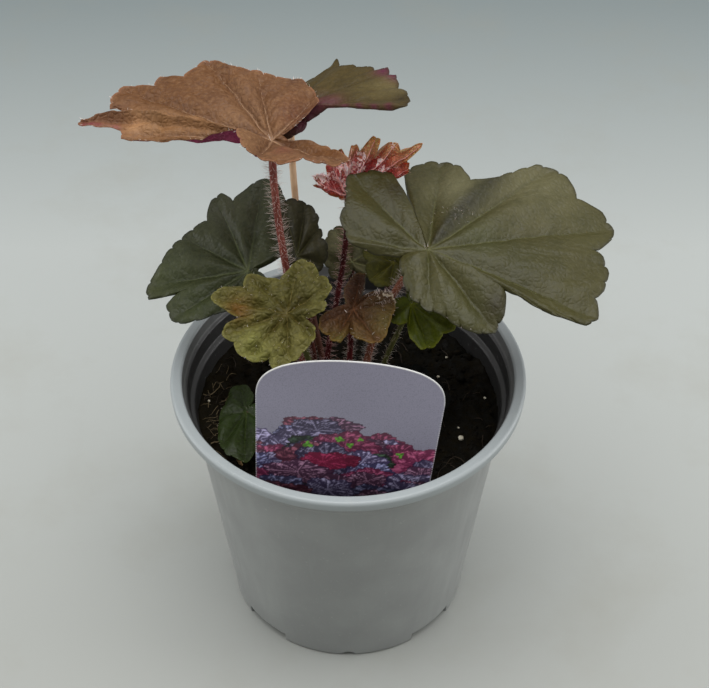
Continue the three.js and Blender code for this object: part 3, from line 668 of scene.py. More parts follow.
# printed polystyrene sheet: ink under a gloss varnish, and bare white plastic on its edges and back
def makeLabel():
    material, tree, place = newFinish("varnishedPrint")
    inks = addNode(tree, "ShaderNodeAttribute", {"attribute_name": "inks"})
    screen = addNode(tree, "ShaderNodeTexNoise", {"Vector": place, "Scale": 2600.0, "Detail": 1.0})  # ink speckle
    printed = finished(material, {"Roughness": 0.38, "IOR": 1.55, "Coat Weight": 0.15, "Coat Roughness": 0.15},
                       inks.outputs[0], [(screen, "#1c1a22", 0.45, 0.8, 0.3)])
    bare = cloudedFinish("whitePolystyrene", "#cfcfcd", "#b3b3af", 600.0, 0.4, 0.7, 0.5,
                         settings={"Roughness": 0.45, "IOR": 1.55})
    side = cardSide()
    rows, columns, depth = label["rows"], label["columns"], label["thickness"] / 2
    heights = (float(side[-1, 1]) - 0.02) * (1 - (1 - np.linspace(0, 1, rows)) ** 1.25)
    halves = np.interp(heights, side[:, 1], side[:, 0])
    x = (halves[:, None] * np.linspace(-1, 1, columns)).ravel()
    y = np.repeat(heights, columns)
    dots = np.linspace(0, len(side) - 1, len(side) * 8)
    outline = nearestTo([[float(np.interp(t, range(len(side)), side[:, k])) for k in (0, 1)] for t in dots])
    inward = np.minimum(outline(abs(x), y), y)
    front = np.stack([x, np.full(len(x), -depth), y], 1)
    ring = [*range(columns), *range(2 * columns - 1, rows * columns, columns)]
    ring += [*range(rows * columns - 2, (rows - 1) * columns - 1, -1), *range((rows - 2) * columns, 0, -columns)]
    n = len(front)
    faces = [(a, a + 1, a + columns + 1, a + columns) for r in range(rows - 1)
             for a in range(r * columns, (r + 1) * columns - 1)]
    slots = [0] * len(faces)
    for k, a in enumerate(ring):
        j = (k + 1) % len(ring)
        faces.append((a, n + k, n + j, ring[j]))
    faces.append(tuple(range(n + len(ring) - 1, n - 1, -1)))
    # the stake goes on down from the card into the compost
    half, m = label["stakeHalf"], n + len(ring)
    stake = [(-half, 0.4), (-half, -20), (0, -label["stakeLength"]), (half, -20), (half, 0.4)]
    faces += [(m, m + 1, m + 2, m + 3, m + 4), (m + 9, m + 8, m + 7, m + 6, m + 5)]
    faces += [(m + k, m + 5 + k, m + 5 + (k + 1) % 5, m + (k + 1) % 5) for k in range(5)]
    slots += [1] * (len(faces) - len(slots))
    stake = [(a, lift, b) for lift in (-depth * 0.98, depth * 0.98) for a, b in stake]
    flat = np.concatenate([front, front[ring] + (0, 2 * depth, 0), stake])
    inks = np.ones((len(flat), 4))
    inks[:n] = printedInks(x, y, inward)
    turn, lean = math.radians(label["turn"]), math.radians(label["lean"])
    z = flat[:, 2] * math.cos(turn) - flat[:, 0] * math.sin(turn)
    placed = np.stack([flat[:, 0] * math.cos(turn) + flat[:, 2] * math.sin(turn),
                       flat[:, 1] * math.cos(lean) + z * math.sin(lean),
                       z * math.cos(lean) - flat[:, 1] * math.sin(lean)], 1) + label["foot"]
    mesh = makeMesh("plantLabelCard", placed, faces, {"inks": inks}, slots, sharp=40)
    settle(addPiece("plantLabelCard", mesh, [printed, bare]), "plant_label")


makeLabel()

# Leaves. Key points of the edge: angle, reach and any rise, seen from the top of the stem. Skin: ground, dark,
# light, vein and rim. Under: ground, dark and vein. Tints: colour, amount, place on the blade and radius; some of
# them are painted shade and painted light, marked where they stand. Fuzz: how thick the hairs are on rim, top and
# stem, and how long; patches are tufts: place, radius, thickness. What a leaf doesn't say is taken from these
plainLeaf = dict(heading=0, dip=0, bank=0, bite=0.12, rounding=1.6, fold=0.8, foldWidth=2.6, groove=0.16, ripple=0.25,
                 rippleLength=9, edgeWave=0.3, veinGirth=0.17, sideSpacing=6.5, ringSpacing=1.2, thin=0.35, thick=0.7,
                 footHeight=87)
plainPaint = dict(rough=0.5, shine=0.25, glow=0, net=1.9, netAmount=0.12, veinAmount=0.5, rimAmount=0.6, bump=0.3,
                  alike=False, tints=(), stem="brownRed")
plainFuzz = dict(rim=0, rimLength=1.6, top=0, topLength=2, under=0, stem=0, stemLength=2, hair="pale", patches=())
shortHairs = dict(stem=0.6, stemLength=2)
leaves = [
    dict(name="leaf_bronze_tall", at=(-25, 8, 206.8), heading=180, puff=1.6, tooth=6, bite=0.15, fold=1,
         groove=0.25, ripple=0.4, veins=[-122, -81, -60, -30, -12, 75, 141],
         stem=dict(foot=(-13.9, 1), radius=1.35, rise=(-4, 6, 42), arrive=(1.3, -1, 34)),
         keys=[(-172, 5.5), (-134, 4.5), (-128, 25, 2), (-106, 34, 2), (-94, 34.5, 1.5), (-80, 37, 3),
               (-67, 40, 5), (-59, 49, 3), (-48, 48, 1.5), (-43, 55), (-36, 52, 1), (-31, 61), (-25, 62, -1),
               (-21, 60, -2), (-19.5, 46, 1), (-17, 71, -8), (-13, 53, -4), (-9, 52, -5), (-6, 39, -3), (-5, 27, -1),
               (4, 15, 5), (12, 12, 7), (36, 13, 8), (69, 18, 8), (86, 21, 8), (104, 23.5, 8), (119, 23, 8),
               (130, 33, 9), (140, 34, 8.5), (147, 29, 6), (158, 20, 3), (172, 4)],
         paint=dict(kind="Bronze", skin=("#624126", "#482c1a", "#826244", "#9a7a5f", "#885c43"),
           under=("#7c2448", "#5c1832", "#9c4a66"), stem="red", bump=0.6, veinAmount=0.5, rimAmount=0.5,
           # the first two tints, darker brown towards the tip, are painted shade
           tints=[("#512e1f", 0.7, 55, -15, 7), ("#5b3b1f", 0.6, 38, -24, 14), ("#72533a", 0.6, 10, -16, 11),
           ("#5a2e20", 0.5, -9, -12, 6), ("#67462d", 0.6, -14, 18, 7), ("#5a2e20", 0.6, -4, 12, 4),
           ("#7a2a42", 0.95, 65.5, -18.7, 1.2), ("#7a2a42", 0.95, 62.5, -17.2, 1.2),
           ("#7a2a42", 0.95, 59.5, -15.8, 1.2), ("#7a2a42", 0.95, 56.5, -14.4, 1.2),
           # the last two tints on this line and the six on the next two lines lighten the strip under the upper lobe:
           # painted light over the lobe's shade
           ("#7a2a42", 0.95, 53.5, -13, 1.2), ("#66472d", 0.8, 35, -6.5, 4), ("#66472d", 0.8, 25, -4, 3.5),
           ("#86654c", 0.85, 57, -13.4, 3.2), ("#a47a55", 0.9, 46.5, -12.3, 4), ("#8b6745", 0.85, 40, -11.8, 3.5),
           ("#845f3d", 0.85, 34.6, -11.2, 3.5), ("#845f3d", 0.85, 29, -10.4, 3.5), ("#845f3d", 0.85, 23.5, -9.5, 3.5),
           ("#4a2a0d", 0.95, -8, 2.5, 3.2), ("#4e2d0c", 0.95, -12, 6, 3.4), ("#58330f", 0.95, -16, 10.5, 3.4),
           ("#58330f", 0.9, -20, 14, 3)]),
         fuzz=dict(rim=0.7, rimLength=1.1, stem=0.9, stemLength=3.2)),
    dict(name="leaf_olive_tall", at=(-19.8, 31.2, 202.4), heading=0, dip=22, bank=-10, puff=1.2, tooth=6,
         veins=[-100, -44, -8, 26, 64, 110],
         stem=dict(foot=(-6.3, 10), radius=1.25, rise=(-8, 9, 32), arrive=(0.8, -1, 42)),
         keys=[(-172, 3.5, -1), (-140, 6, -3), (-111, 10, -5), (-69, 8, -5), (-42, 7.5, -4), (-24, 9, -3),
               (-20.5, 15, -1), (-20, 22, -2), (-19.6, 30, -4), (-19.3, 38, -6), (-18, 43, -6), (-10, 42.2, -7),
               (1, 40, -7), (8, 37.2, -7), (13, 37.7, -6.5), (18, 38.5, -5), (23, 36.8, -4.5), (28, 38.3, -4),
               (32, 36.4, -4), (34.5, 34.2, -4), (39, 36, -4), (44, 33.4, -3), (49, 31.8, -1), (58, 30.6, -0.5),
               (64, 34.5), (67, 30, -1), (75, 27, -2), (84, 27, -3), (100, 24, -3), (122, 20, -2), (150, 14, -2)],
         paint=dict(kind="Olive", skin=("#3d3214", "#30260d", "#4d3e1d", "#544423", "#22170a"),
           under=("#d0709a", "#ac4878", "#c4809c"), stem="tan", rimAmount=0.5, tints=[("#554a28", 0.7, 31, 6, 8),
           ("#110903", 0.98, 38.2, -4.4, 1.8), ("#2a1d0e", 0.9, 28.5, 2.7, 1), ("#584e32", 0.7, 36, 4, 6),
           ("#501d34", 0.95, 32, 16.5, 3), ("#501d34", 0.95, 35.5, 11.5, 2.4), ("#582135", 0.97, 5, -6, 6.5),
           ("#582135", 0.97, 9.5, -2.4, 4.6), ("#52232d", 0.95, 14.5, -2, 3.4), ("#4f212f", 0.9, 20, -7.4, 1.6),
           ("#4f212f", 0.9, 25, -9, 1.3), ("#4f212f", 0.9, 30, -10.6, 1.3), ("#4f212f", 0.9, 35, -12, 1.3)]),
         fuzz=dict(rim=0.1, rimLength=0.8)),
    dict(name="leaf_pink_young", at=(-0.4, 30, 167.6), heading=-90, dip=82, puff=1.6, tooth=5, fold=1.6,
         foldWidth=1.5, groove=0.4, ripple=0.5, rippleLength=4, sideSpacing=4, veins=[-62, -20, 5, 21, 36, 49, 64],
         stem=dict(foot=(-8.6, 3.5), radius=1.1, rise=(-1.8, 5, 26), arrive=(-2, 7, 24)),
         keys=[(-150, 3), (-110, 6, 1), (-82, 9, 1), (-74, 13, 1), (-67, 10.5), (-61, 14, 2), (-50, 13.4, 1),
               (-38, 11), (-30, 14.5, 1), (-12, 20, 2), (-5, 20.5, 2), (1, 16), (4, 21.5, 2), (9, 23, 2), (12.5, 21),
               (19, 28, 2), (24, 28.8, 1), (27.5, 22, -1), (31, 28, 1), (38, 29, 2), (42, 28), (49.5, 35, 2),
               (52, 26.5), (59, 25.5, 2), (69, 23.5, 2), (77, 9, 1), (110, 5, 1), (150, 3)],
         paint=dict(kind="Pink", skin=("#b04747", "#5f1c21", "#e28886", "#ffcbcf", "#73592f"),
           under=("#bd5956", "#893839", "#ecaea8"), stem="maroon", alike=True, glow=0.3, bump=0.7, down="#f6d4d4",
           veinAmount=0.3, rimAmount=0.75, net=1.6, netAmount=0.4, tints=[("#5f6028", 0.95, 5.5, -12.5, 3.5),
           ("#978847", 0.95, 20, -3, 4), ("#c5b07a", 0.9, 22, 5, 3.5), ("#9a904c", 0.95, 25.5, 11, 4.5),
           ("#cfa875", 0.9, 22, 17, 4.5), ("#c5a36f", 0.9, 20, 25, 5), ("#8b2735", 0.8, 11, 5, 3.5),
           ("#c5885b", 0.7, 15, 20, 4)]),
         fuzz=dict(rim=0.3, rimLength=0.9, top=0.25, topLength=1.2, under=1, stem=1, stemLength=3, hair="pink",
           patches=[(4, 1, 6, 0.72), (12, -2, 4, 0.62), (7, -9, 4.5, 0.78), (12, 16, 3, 0.5), (18.5, 5.3, 2.6, 0.76),
           (13.1, 5.3, 2.7, 0.68), (16.6, 11.6, 2.4, 0.8), (10.6, 12, 2.8, 0.8), (13.6, 1.1, 2.8, 0.62),
           (21.4, 15.7, 2, 0.65)])),
    dict(name="leaf_grey_wide", at=(27.3, -5, 170.6), heading=-60, puff=1.8, tooth=6.5, bite=0.17,
         veins=[-166, -128, -30, 8, 39, 76, 103, 142],
         stem=dict(foot=(4, 5), radius=1.3, rise=(2, 3, 26), arrive=(13, -12, 26)),
         keys=[(-195.5, 5), (-193.5, 27, 5), (-190, 35.5, 8), (-179, 36.5, 10), (-164, 38, 11.5),
               (-152, 32.5, 10), (-137, 31.5, 7), (-121, 27, 3), (-117, 18, -1), (-112, 10, -2), (-90, 11, -4),
               (-65, 14, -6), (-46, 19, -7), (-20, 23, -9), (-4, 31, -12), (9, 35, -13), (17, 34, -9), (28, 31, -4),
               (31, 48, -9), (35, 58, -12), (39, 61, -12), (46, 59, -9), (57, 62, -8), (66, 59, -5), (75, 68, -6),
               (82, 67, -4), (89, 62, -1), (97, 63, 2), (107, 58, 4), (114, 41, 5), (124, 37, 5), (133, 43, 4),
               (147, 47, 2), (160, 43, 1), (162.5, 30, 0.5)],
         paint=dict(kind="GreyOlive", skin=("#393518", "#2e2d12", "#474426", "#53532f", "#191808"),
           under=("#5c2a3e", "#44202e", "#7c5a62"), stem="orangePink", veinAmount=0.35, shine=0.35, rough=0.46,
           # the second tint on this line and the first on the next, paler greyer patches, are painted sheen
           tints=[("#343216", 0.7, -20, -8, 14), ("#5e5b40", 0.85, -20, 23, 9), ("#221c08", 0.85, -26, 3, 4),
           ("#59553a", 0.9, -8, 50, 15), ("#36391c", 0.7, 4, 18, 8), ("#403d1e", 0.6, 16, 55, 10),
           ("#39391a", 0.6, 26, -2, 14), ("#302f12", 0.7, 20, 25, 9), ("#3c3918", 0.6, 37, 30, 9),
           # from the third tint on this line to the end: a dark line from the stem towards the upper right, painted
           # shade in the crease
           ("#1f1904", 0.9, 29, 9, 3.5), ("#30280b", 0.7, -22, 61, 2), ("#161409", 0.9, -2.6, 4.5, 1.8),
           ("#161409", 0.9, -4.4, 8, 2.2), ("#161409", 0.9, -6.3, 12, 2.4), ("#161409", 0.88, -8, 15.8, 2.6),
           ("#161409", 0.88, -9.6, 19.5, 2.6), ("#161409", 0.88, -11.1, 23.2, 2.7), ("#19170b", 0.85, -12.6, 27, 2.7),
           ("#19170b", 0.85, -14.1, 30.8, 2.7), ("#1b190c", 0.8, -15.5, 34.6, 2.6), ("#1d1b0e", 0.75, -17, 38.4, 2.6),
           ("#211f0f", 0.7, -18.6, 42.2, 2.6), ("#2b2917", 0.6, -20.4, 46, 2.6)]),
         fuzz=dict(rim=0.15, rimLength=0.9, stem=1, stemLength=2.8, topLength=1.2, patches=[(-9, 16, 5, 0.35)])),
    dict(name="leaf_dark_left", at=(-35.6, 12, 146.6), heading=180, dip=-15, bank=-20, puff=1.4, tooth=6,
         bite=0.15, veins=[-102, -72, -40, -5, 24, 60, 150],
         stem=dict(foot=(-15.5, 6.5), radius=1.3, rise=(-3, 2, 22), arrive=(-12, -1, 18)),
         keys=[(-176, 4), (-166, 12), (-145, 22), (-122, 30), (-103, 38.5), (-92, 34), (-83, 31.5), (-77, 36),
               (-70, 34.5), (-60, 29), (-42, 30.5), (-26, 33.5), (-12, 36, -1), (-1, 39, -1.5), (4, 38, -1), (7, 28),
               (13, 32), (25, 32.5), (33, 29), (41, 24), (52, 18), (80, 14), (110, 12), (140, 9), (168, 4)],
         paint=dict(kind="DarkGreen", skin=("#30331c", "#212613", "#404329", "#555b38", "#131609"),
           under=("#38222c", "#281820", "#54464a"), shine=0.3, rough=0.45, tints=[("#373722", 0.6, 5, -27, 9),
           ("#424828", 0.6, 30, -5, 7), ("#31381a", 0.6, 19, 10, 10)]),
         fuzz=dict(stem=0.5, stemLength=2.2)),
    dict(name="leaf_shadow_back", at=(-18, 12.5, 153.2), heading=75, dip=55, puff=1.2, tooth=5.5,
         veins=[-100, -32, 0, 25],
         stem=dict(foot=(-11.5, 12.5), radius=1.15, rise=(-1, 1, 24), arrive=(-0.5, -1, 20)),
         keys=[(-170, 3.5), (-140, 8), (-112, 10), (-82, 11), (-60, 12), (-45, 11.5), (-34, 13), (-26, 13),
               (-22, 16), (-8, 18.5), (3, 19.5), (14, 20.5), (25, 20.5), (34, 18), (50, 12), (72, 8), (96, 6.5),
               (124, 6), (174, 3.5)],
         paint=dict(kind="ShadeBrown", skin=("#2e2b17", "#1e1c0c", "#3e3a24", "#494728", "#131208"),
           under=("#3e2220", "#2a1716", "#544139")),
         fuzz=shortHairs),
    dict(name="leaf_shadow_centre", at=(1.4, 27, 138), heading=100, dip=25, puff=1.2, tooth=5.5,
         veins=[-110, -60, 15, 85, 125],
         stem=dict(foot=(0.5, 13), radius=1.15, rise=(0, 4, 20), arrive=(0.5, 3, 18)),
         keys=[(-170, 3.5), (-140, 10), (-105, 15), (-84, 13), (-58, 17), (-30, 16), (-12, 13), (13, 15.5),
               (26, 15), (40, 13), (58, 12.5), (76, 11), (98, 9.5), (120, 10), (150, 8), (174, 3.5)],
         paint=dict(kind="ShadeGreen", skin=("#565437", "#3d3c25", "#726f4c", "#8e8f5e", "#2b2b18"),
           under=("#6b3c40", "#4a2b2d", "#8e6b69")),
         fuzz=shortHairs),
    dict(name="leaf_green_under", at=(16.4, 16, 147.4), heading=-130, dip=-12, puff=1, tooth=5,
         veins=[-80, -12, 30, 95],
         stem=dict(foot=(6, 10.5), radius=1, rise=(1, 1, 24), arrive=(3, -1, 18)),
         keys=[(-160, 6), (-120, 12), (-82, 13.5), (-58, 10), (-36, 10.5), (-12, 11.5), (10, 12.5), (34, 10.5),
               (52, 8.5), (90, 11), (128, 9), (158, 6), (180, 3)],
         paint=dict(kind="BrownGreen", skin=("#56541b", "#393b11", "#717227", "#858330", "#2a2c0d"),
           under=("#6b3e2b", "#4c2c1d", "#8a6940")),
         fuzz=shortHairs),
    dict(name="leaf_yellow_front", at=(-21, -13, 149), heading=180, bank=-25, puff=1.8, tooth=5, fold=0.8,
         foldWidth=1.8, groove=0.35, ripple=0.75, rippleLength=6, veinGirth=0.09, sideSpacing=4.5,
         veins=[-145, -103, -50, -13, 20, 52, 92, 140],
         stem=dict(foot=(-9.5, -4.5), radius=1.2, rise=(-1, -2, 22), arrive=(-6, -4, 18)),
         keys=[(-176, 12), (-166, 14.5), (-159, 14), (-150, 18, 1), (-136, 19, 1), (-128, 18.4),
               (-118, 19.8, 2), (-104, 20.5, 2), (-92, 16, 1), (-78, 13.5), (-60, 15), (-46, 20.5), (-34, 19, -1),
               (-24, 24), (-13, 27.5), (-7, 24), (4, 16.5, -1), (12, 21, 1), (21, 24, 1), (31, 21.5), (42, 22.5, 1),
               (58, 21.5), (70, 18, -1), (78, 21.5), (90, 19), (102, 18, 1), (118, 15, 1), (138, 13.5), (152, 11),
               (162, 7)],
         paint=dict(kind="Yellow", skin=("#555126", "#3f3a16", "#706a35", "#786935", "#7a763c"),
           under=("#6b6030", "#514824", "#827845"), stem="green", rimAmount=0.4, net=2.1, netAmount=0.3,
           veinAmount=0.3, bump=0.9, tints=[("#3d3814", 0.6, -4.5, 3, 3.5), ("#684413", 0.9, 16.5, -1, 4),
           ("#6a6a34", 0.8, 10, 17, 7), ("#55532d", 0.5, -8, -5, 6), ("#5b552b", 0.6, 2, 9, 6),
           # the first and last tints here, dark round the middle of the blade, are painted shade
           ("#31280d", 0.7, -4.5, -4.5, 3.2), ("#828244", 0.8, 10.7, 11.9, 3.2), ("#261e06", 0.88, 1, 0.5, 3.8)]),
         fuzz=dict(rim=0.25, rimLength=0.9, top=0.05, topLength=1, stem=0.7, stemLength=2)),
    dict(name="leaf_red_centre", at=(1.9, -5, 143.4), heading=-60, puff=1.4, tooth=4.5, fold=1, foldWidth=1.5,
         groove=0.3, ripple=0.4, rippleLength=4, sideSpacing=4, veins=[-88, -54, -4, 70, 115, 142],
         stem=dict(foot=(-0.5, -1), radius=1, rise=(0, -0.5, 20), arrive=(1, 0, 18)),
         keys=[(-178, 6, 1), (-156, 3), (-122, 6, 1), (-95, 13, 1), (-80, 15.5, 1), (-70, 17, 1), (-63, 15.5),
               (-54, 18.5, 1), (-45, 17), (-38, 10.5, -1), (-27, 15, 1), (-12, 19, 1), (-2, 20, 1), (9, 18, 1),
               (24, 15.5, 2.5), (46, 15, 3.5), (78, 14.5, 3.5), (98, 13, 2), (112, 12), (127, 7), (137, 19, 1),
               (143, 19, 1), (157, 14, 1)],
         paint=dict(kind="RedBrown", skin=("#412613", "#2c180a", "#57371b", "#654128", "#654e1f"),
           under=("#4e2122", "#371616", "#68433e"), stem="maroon", down="#a89a86", net=1.6, bump=0.7,
           tints=[("#55541f", 0.85, 14, -13, 6), ("#4e471d", 0.85, 14, 6, 6), ("#443616", 0.6, 4, 7, 6),
           ("#462e20", 0.7, -8, 2, 7)]),
         fuzz=dict(rim=0.35, rimLength=1.4, top=0.02, topLength=1.5, stem=1, stemLength=2.6,
           patches=[(0, 12, 5, 0.75), (6, 12, 5, 0.55)])),
    dict(name="leaf_green_right", at=(22.2, 0, 141.5), heading=-60, dip=-10, puff=1.2, tooth=5,
         veins=[-85, -35, -12, 24, 80, 130],
         stem=dict(foot=(8.5, 2.5), radius=1, rise=(2, 0, 20), arrive=(5, -0.5, 16)),
         keys=[(-170, 4), (-140, 6), (-104, 7.5), (-70, 11), (-52, 10), (-40, 9), (-32, 15), (-20, 20),
               (-9, 20.5), (3, 18), (12, 17), (26, 18.5), (44, 17), (60, 19), (84, 16.5), (108, 15), (135, 12),
               (160, 8), (180, 3)],
         paint=dict(kind="Green", skin=("#3f4806", "#2c3204", "#575d0e", "#6b7215", "#606410"),
           under=("#575013", "#3f390a", "#766f1e"), stem="green", tints=[("#475006", 0.6, 14, 0, 7)]),
         fuzz=dict(rim=0.1, rimLength=0.8, stem=0.6, stemLength=2)),
    dict(name="leaf_soil_left", at=(-37.1, -12.3, 100), heading=-120, puff=1.2, tooth=5,
         veins=[-140, -60, 3, 32, 90],
         stem=dict(foot=(-14.5, -1.5), radius=1, rise=(-2, -1, 14), arrive=(-12, -6, 1)),
         keys=[(-180, 3.5), (-166, 9), (-148, 14.5, -0.5), (-128, 15, -1), (-112, 11, -1), (-90, 9.5, -1),
               (-52, 9.5, -1), (-20, 12.5, -1), (3, 18.5, -1), (14, 21.5, -1), (22, 21.5, -1), (32, 24, -1.5),
               (42, 19, -1), (58, 16, -1), (88, 14.5, -1), (120, 12.5, -1), (152, 9)],
         paint=dict(kind="LowGreen", skin=("#1f2908", "#141b04", "#2c3a13", "#3a481b", "#25320d"),
           under=("#2a2c0e", "#1b1c06", "#3e4018"), rough=0.42, tints=[("#26420d", 0.7, -2, 9, 6)]),
         fuzz=dict(rim=0.2, rimLength=0.8, stem=0.6, stemLength=1.8)),
    dict(name="leaf_soil_right", at=(25.5, -4, 102), heading=-20, puff=1, tooth=4.5,
         veins=[-90, -25, 35, 105, 135],
         stem=dict(foot=(5.5, -5), radius=1, rise=(4, 0.5, 12), arrive=(10, 0, 2)),
         keys=[(-175, 3), (-150, 10, -1), (-120, 12.5, -1), (-104, 11, -1), (-80, 13, -1), (-58, 11, -1),
               (-34, 13, -1), (-14, 13, -1), (4, 12.5), (27, 10), (44, 10.5), (64, 9.5), (72, 10.5), (84, 9.5),
               (92, 12.5), (110, 14.5), (118, 14), (134, 17), (150, 13), (166, 9)],
         # near black colours: painted shade, for the deep shade this low leaf lies in
         paint=dict(kind="LowDark", skin=("#030402", "#020201", "#070803", "#090b05", "#010101"),
           under=("#050402", "#020201", "#0b0804"), shine=0.08, rough=0.7),
         fuzz=dict(stem=0.6, stemLength=1.8)),
]


def smooth(t):
    return t * t * (3 - 2 * t)


def isDip(keys, i):
    return keys[i][1] < keys[i - 1][1] and keys[i][1] <= keys[(i + 1) % len(keys)][1]


def isTip(keys, i):
    return keys[i][1] >= keys[i - 1][1] and keys[i][1] > keys[(i + 1) % len(keys)][1]


def ease(t, fromTip, toTip):
    if fromTip and toTip:
        return smooth(t)
    return 1 - math.cos(t * math.pi / 2) if fromTip else math.sin(t * math.pi / 2) if toTip else t


# two points a tooth, as in the frame: angle, reach, depth of the bite, rise, and whether it is a notch
def edgePoints(leaf):
    keys, tooth = [(*key, 0)[:3] for key in leaf["keys"]], leaf["tooth"]
    points = []
    for i, key in enumerate(keys):
        j = (i + 1) % len(keys)
        after = keys[j]
        turn = after[0] - key[0] + (360 if j == 0 else 0)
        length = math.hypot(math.radians(turn) * (key[1] + after[1]) / 2, after[1] - key[1])
        fromDip, toDip = isDip(keys, i), isDip(keys, j)
        teeth = math.floor(length / tooth + 0.5)
        cycles = max(1, teeth) if fromDip == toDip else max(0.5, teeth - 0.5)
        for k in range(int(2 * cycles)):
            t = k / (2 * cycles)
            reach = key[1] + (after[1] - key[1]) * ease(t, isTip(keys, i), isTip(keys, j))
            bite = 0 if (k % 2 == 0) != fromDip else min(leaf["bite"] * tooth, 0.2 * reach)
            rise = key[2] + (after[2] - key[2]) * smooth(t)
            points.append((key[0] + turn * t, reach, bite, rise, k == 0 and fromDip))
    return points


# a lobe's corners rounded off: each point is drawn to its neighbours within a few millimetres, but not across a notch
def roundedLobes(edge, reachOver):
    a, r = np.radians(edge["angle"]), edge["reach"]
    steps = np.hypot(np.diff(r, append=r[0]), r * (np.diff(a, append=a[0] + 2 * np.pi)))
    along, n = np.concatenate([[0], np.cumsum(steps)]), len(r)
    smoothed = r.copy()
    for i in range(n):
        near = [i]
        for way in (-1, 1):
            j = i
            while abs(along[j + (way > 0)] - along[i]) < 2 * reachOver and 0 < j + way < n and not edge["dip"][j]:
                j += way
                near.append(j)
        weight = np.exp(-((along[near] - along[i]) / reachOver) ** 2)
        smoothed[i] = r[i] if edge["dip"][i] else (weight * r[near]).sum() / weight.sum()
    return smoothed


# the edge with round teeth, each with a small point: half a tooth in a few steps
def fineEdge(leaf, steps):
    points = edgePoints(leaf)
    rows = []
    for i, (angle, reach, bite, rise, dip) in enumerate(points):
        angle2, reach2, bite2, rise2, _ = points[(i + 1) % len(points)]
        turn = angle2 - angle + (360 if i + 1 == len(points) else 0)
        for k in range(steps):
            t = k / steps
            if bite > bite2:
                depth = bite * (1 - math.sqrt(1 - (1 - t) ** 2))
            elif bite2 > bite:
                depth = bite2 * (1 - math.sqrt(1 - t ** 2))
            else:
                depth = bite
            point = 0.1 if k == 0 and bite == 0 else 0
            rows.append((angle + turn * t, reach + (reach2 - reach) * t, depth - point,
                         rise + (rise2 - rise) * t, dip and k == 0))
    edge = {key: np.array([row[i] for row in rows], float) for i, key in enumerate(("angle", "reach", "bite", "rise"))}
    edge["dip"] = np.array([row[4] for row in rows], bool)
    edge["reach"] = roundedLobes(edge, leaf["rounding"])
    return edge


# a value of the edge at any angle
def around(angle, edge, key):
    start = edge["angle"][0]
    turned = (angle - start) % 360 + start
    return np.interp(turned, np.append(edge["angle"], start + 360), np.append(edge[key], edge[key][0]))


def bladeAxes(leaf):
    h, d, b = (math.radians(leaf[key]) for key in ("heading", "dip", "bank"))
    u = Vector((math.cos(h) * math.cos(d), math.sin(h) * math.cos(d), math.sin(d)))
    v = Quaternion(u, b) @ Vector((-math.sin(h), math.cos(h), 0))
    return np.array(u), np.array(v), np.array(u.cross(v))


# soft waves with no repeat to see: a few sines across each other
def rippled(x, y, seed, length):
    rng = random.Random(seed)
    total = 0
    for _ in range(5):
        a, k, p = rng.uniform(0, 6.283), 6.283 / (length * rng.uniform(0.7, 1.5)), rng.uniform(0, 6.283)
        total = total + np.sin(k * (x * math.cos(a) + y * math.sin(a)) + p)
    return total / 2.5


# the frame's own form: a rise towards the edge, and a puff between two main veins
def bladeHeight(leaf, angle, s, rise):
    turned = (np.asarray(angle)[..., None] - np.array(leaf["veins"])) % 360
    behind, ahead = turned.min(-1), 360 - turned.max(-1)
    return rise * s ** 1.4 + leaf["puff"] * np.sin(np.pi * behind / (behind + ahead)) * 4 * s * (1 - s)


# main veins from the stem, and side veins that leave them in turn. Each: points, weight, length
def veinNetwork(leaf, edge):
    rng = random.Random(leaf["name"] + "veins")
    network = []
    veins = sorted(leaf["veins"])
    for i, vein in enumerate(veins):
        length = float(around(np.array(vein), edge, "reach")) * 0.97
        before, after = (vein - veins[i - 1]) % 360 / 2, (veins[(i + 1) % len(veins)] - vein) % 360 / 2
        sway = rng.uniform(-1.6, 1.6)
        count = max(6, int(length / 1.6))
        bearing = lambda t: math.radians(vein + sway * math.sin(3 * t))
        polar = [(length * k / count, bearing(k / count)) for k in range(count + 1)]
        network.append(([(far * math.cos(a), far * math.sin(a)) for far, a in polar], 1.0, length))
        branches = max(2, int(length / leaf["sideSpacing"]))
        for k in range(branches):
            for side, limit in ((-1, before - 1.2), (1, after - 1.2)):
                at = 0.16 + 0.8 * (k + (0.5 if side > 0 else 0.1) + rng.uniform(-0.15, 0.15)) / branches
                if at > 0.93:
                    continue
                heading = math.radians(vein) + side * math.radians(rng.uniform(34, 44))
                x, y = length * at * math.cos(bearing(at)), length * at * math.sin(bearing(at))
                path = [(x, y)]
                for _ in range(int(0.5 * length * (1 - 0.45 * at) / 1.1)):
                    heading -= side * math.radians(0.9)
                    x += 1.1 * math.cos(heading)
                    y += 1.1 * math.sin(heading)
                    angle = math.degrees(math.atan2(y, x))
                    off = ((angle - vein + 180) % 360 - 180) * side
                    if off > limit or math.hypot(x, y) > 0.93 * float(around(np.array(angle), edge, "reach")) - 0.6:
                        break
                    path.append((x, y))
                if len(path) > 3:
                    network.append((path, 0.5, len(path) * 1.1))
    return network


# faces between a ring and the next one in, which may have fewer points
def stitch(outerIds, innerIds, total, outerStart, innerStart):
    faces = []
    if len(outerIds) == len(innerIds):
        n = len(outerIds)
        for i in range(n):
            j = (i + 1) % n
            faces += [(outerStart + i, outerStart + j, innerStart + j),
                      (outerStart + i, innerStart + j, innerStart + i)]
        return faces
    i = j = 0
    while i < len(outerIds) or j < len(innerIds):
        nextOuter = outerIds[i + 1] if i + 1 < len(outerIds) else total
        nextInner = innerIds[j + 1] if j + 1 < len(innerIds) else total
        a, b = outerStart + i % len(outerIds), innerStart + j % len(innerIds)
        if j >= len(innerIds) or (i < len(outerIds) and nextOuter <= nextInner):
            faces.append((a, outerStart + (i + 1) % len(outerIds), b))
            i += 1
        else:
            faces.append((a, innerStart + (j + 1) % len(innerIds), b))
            j += 1
    return faces


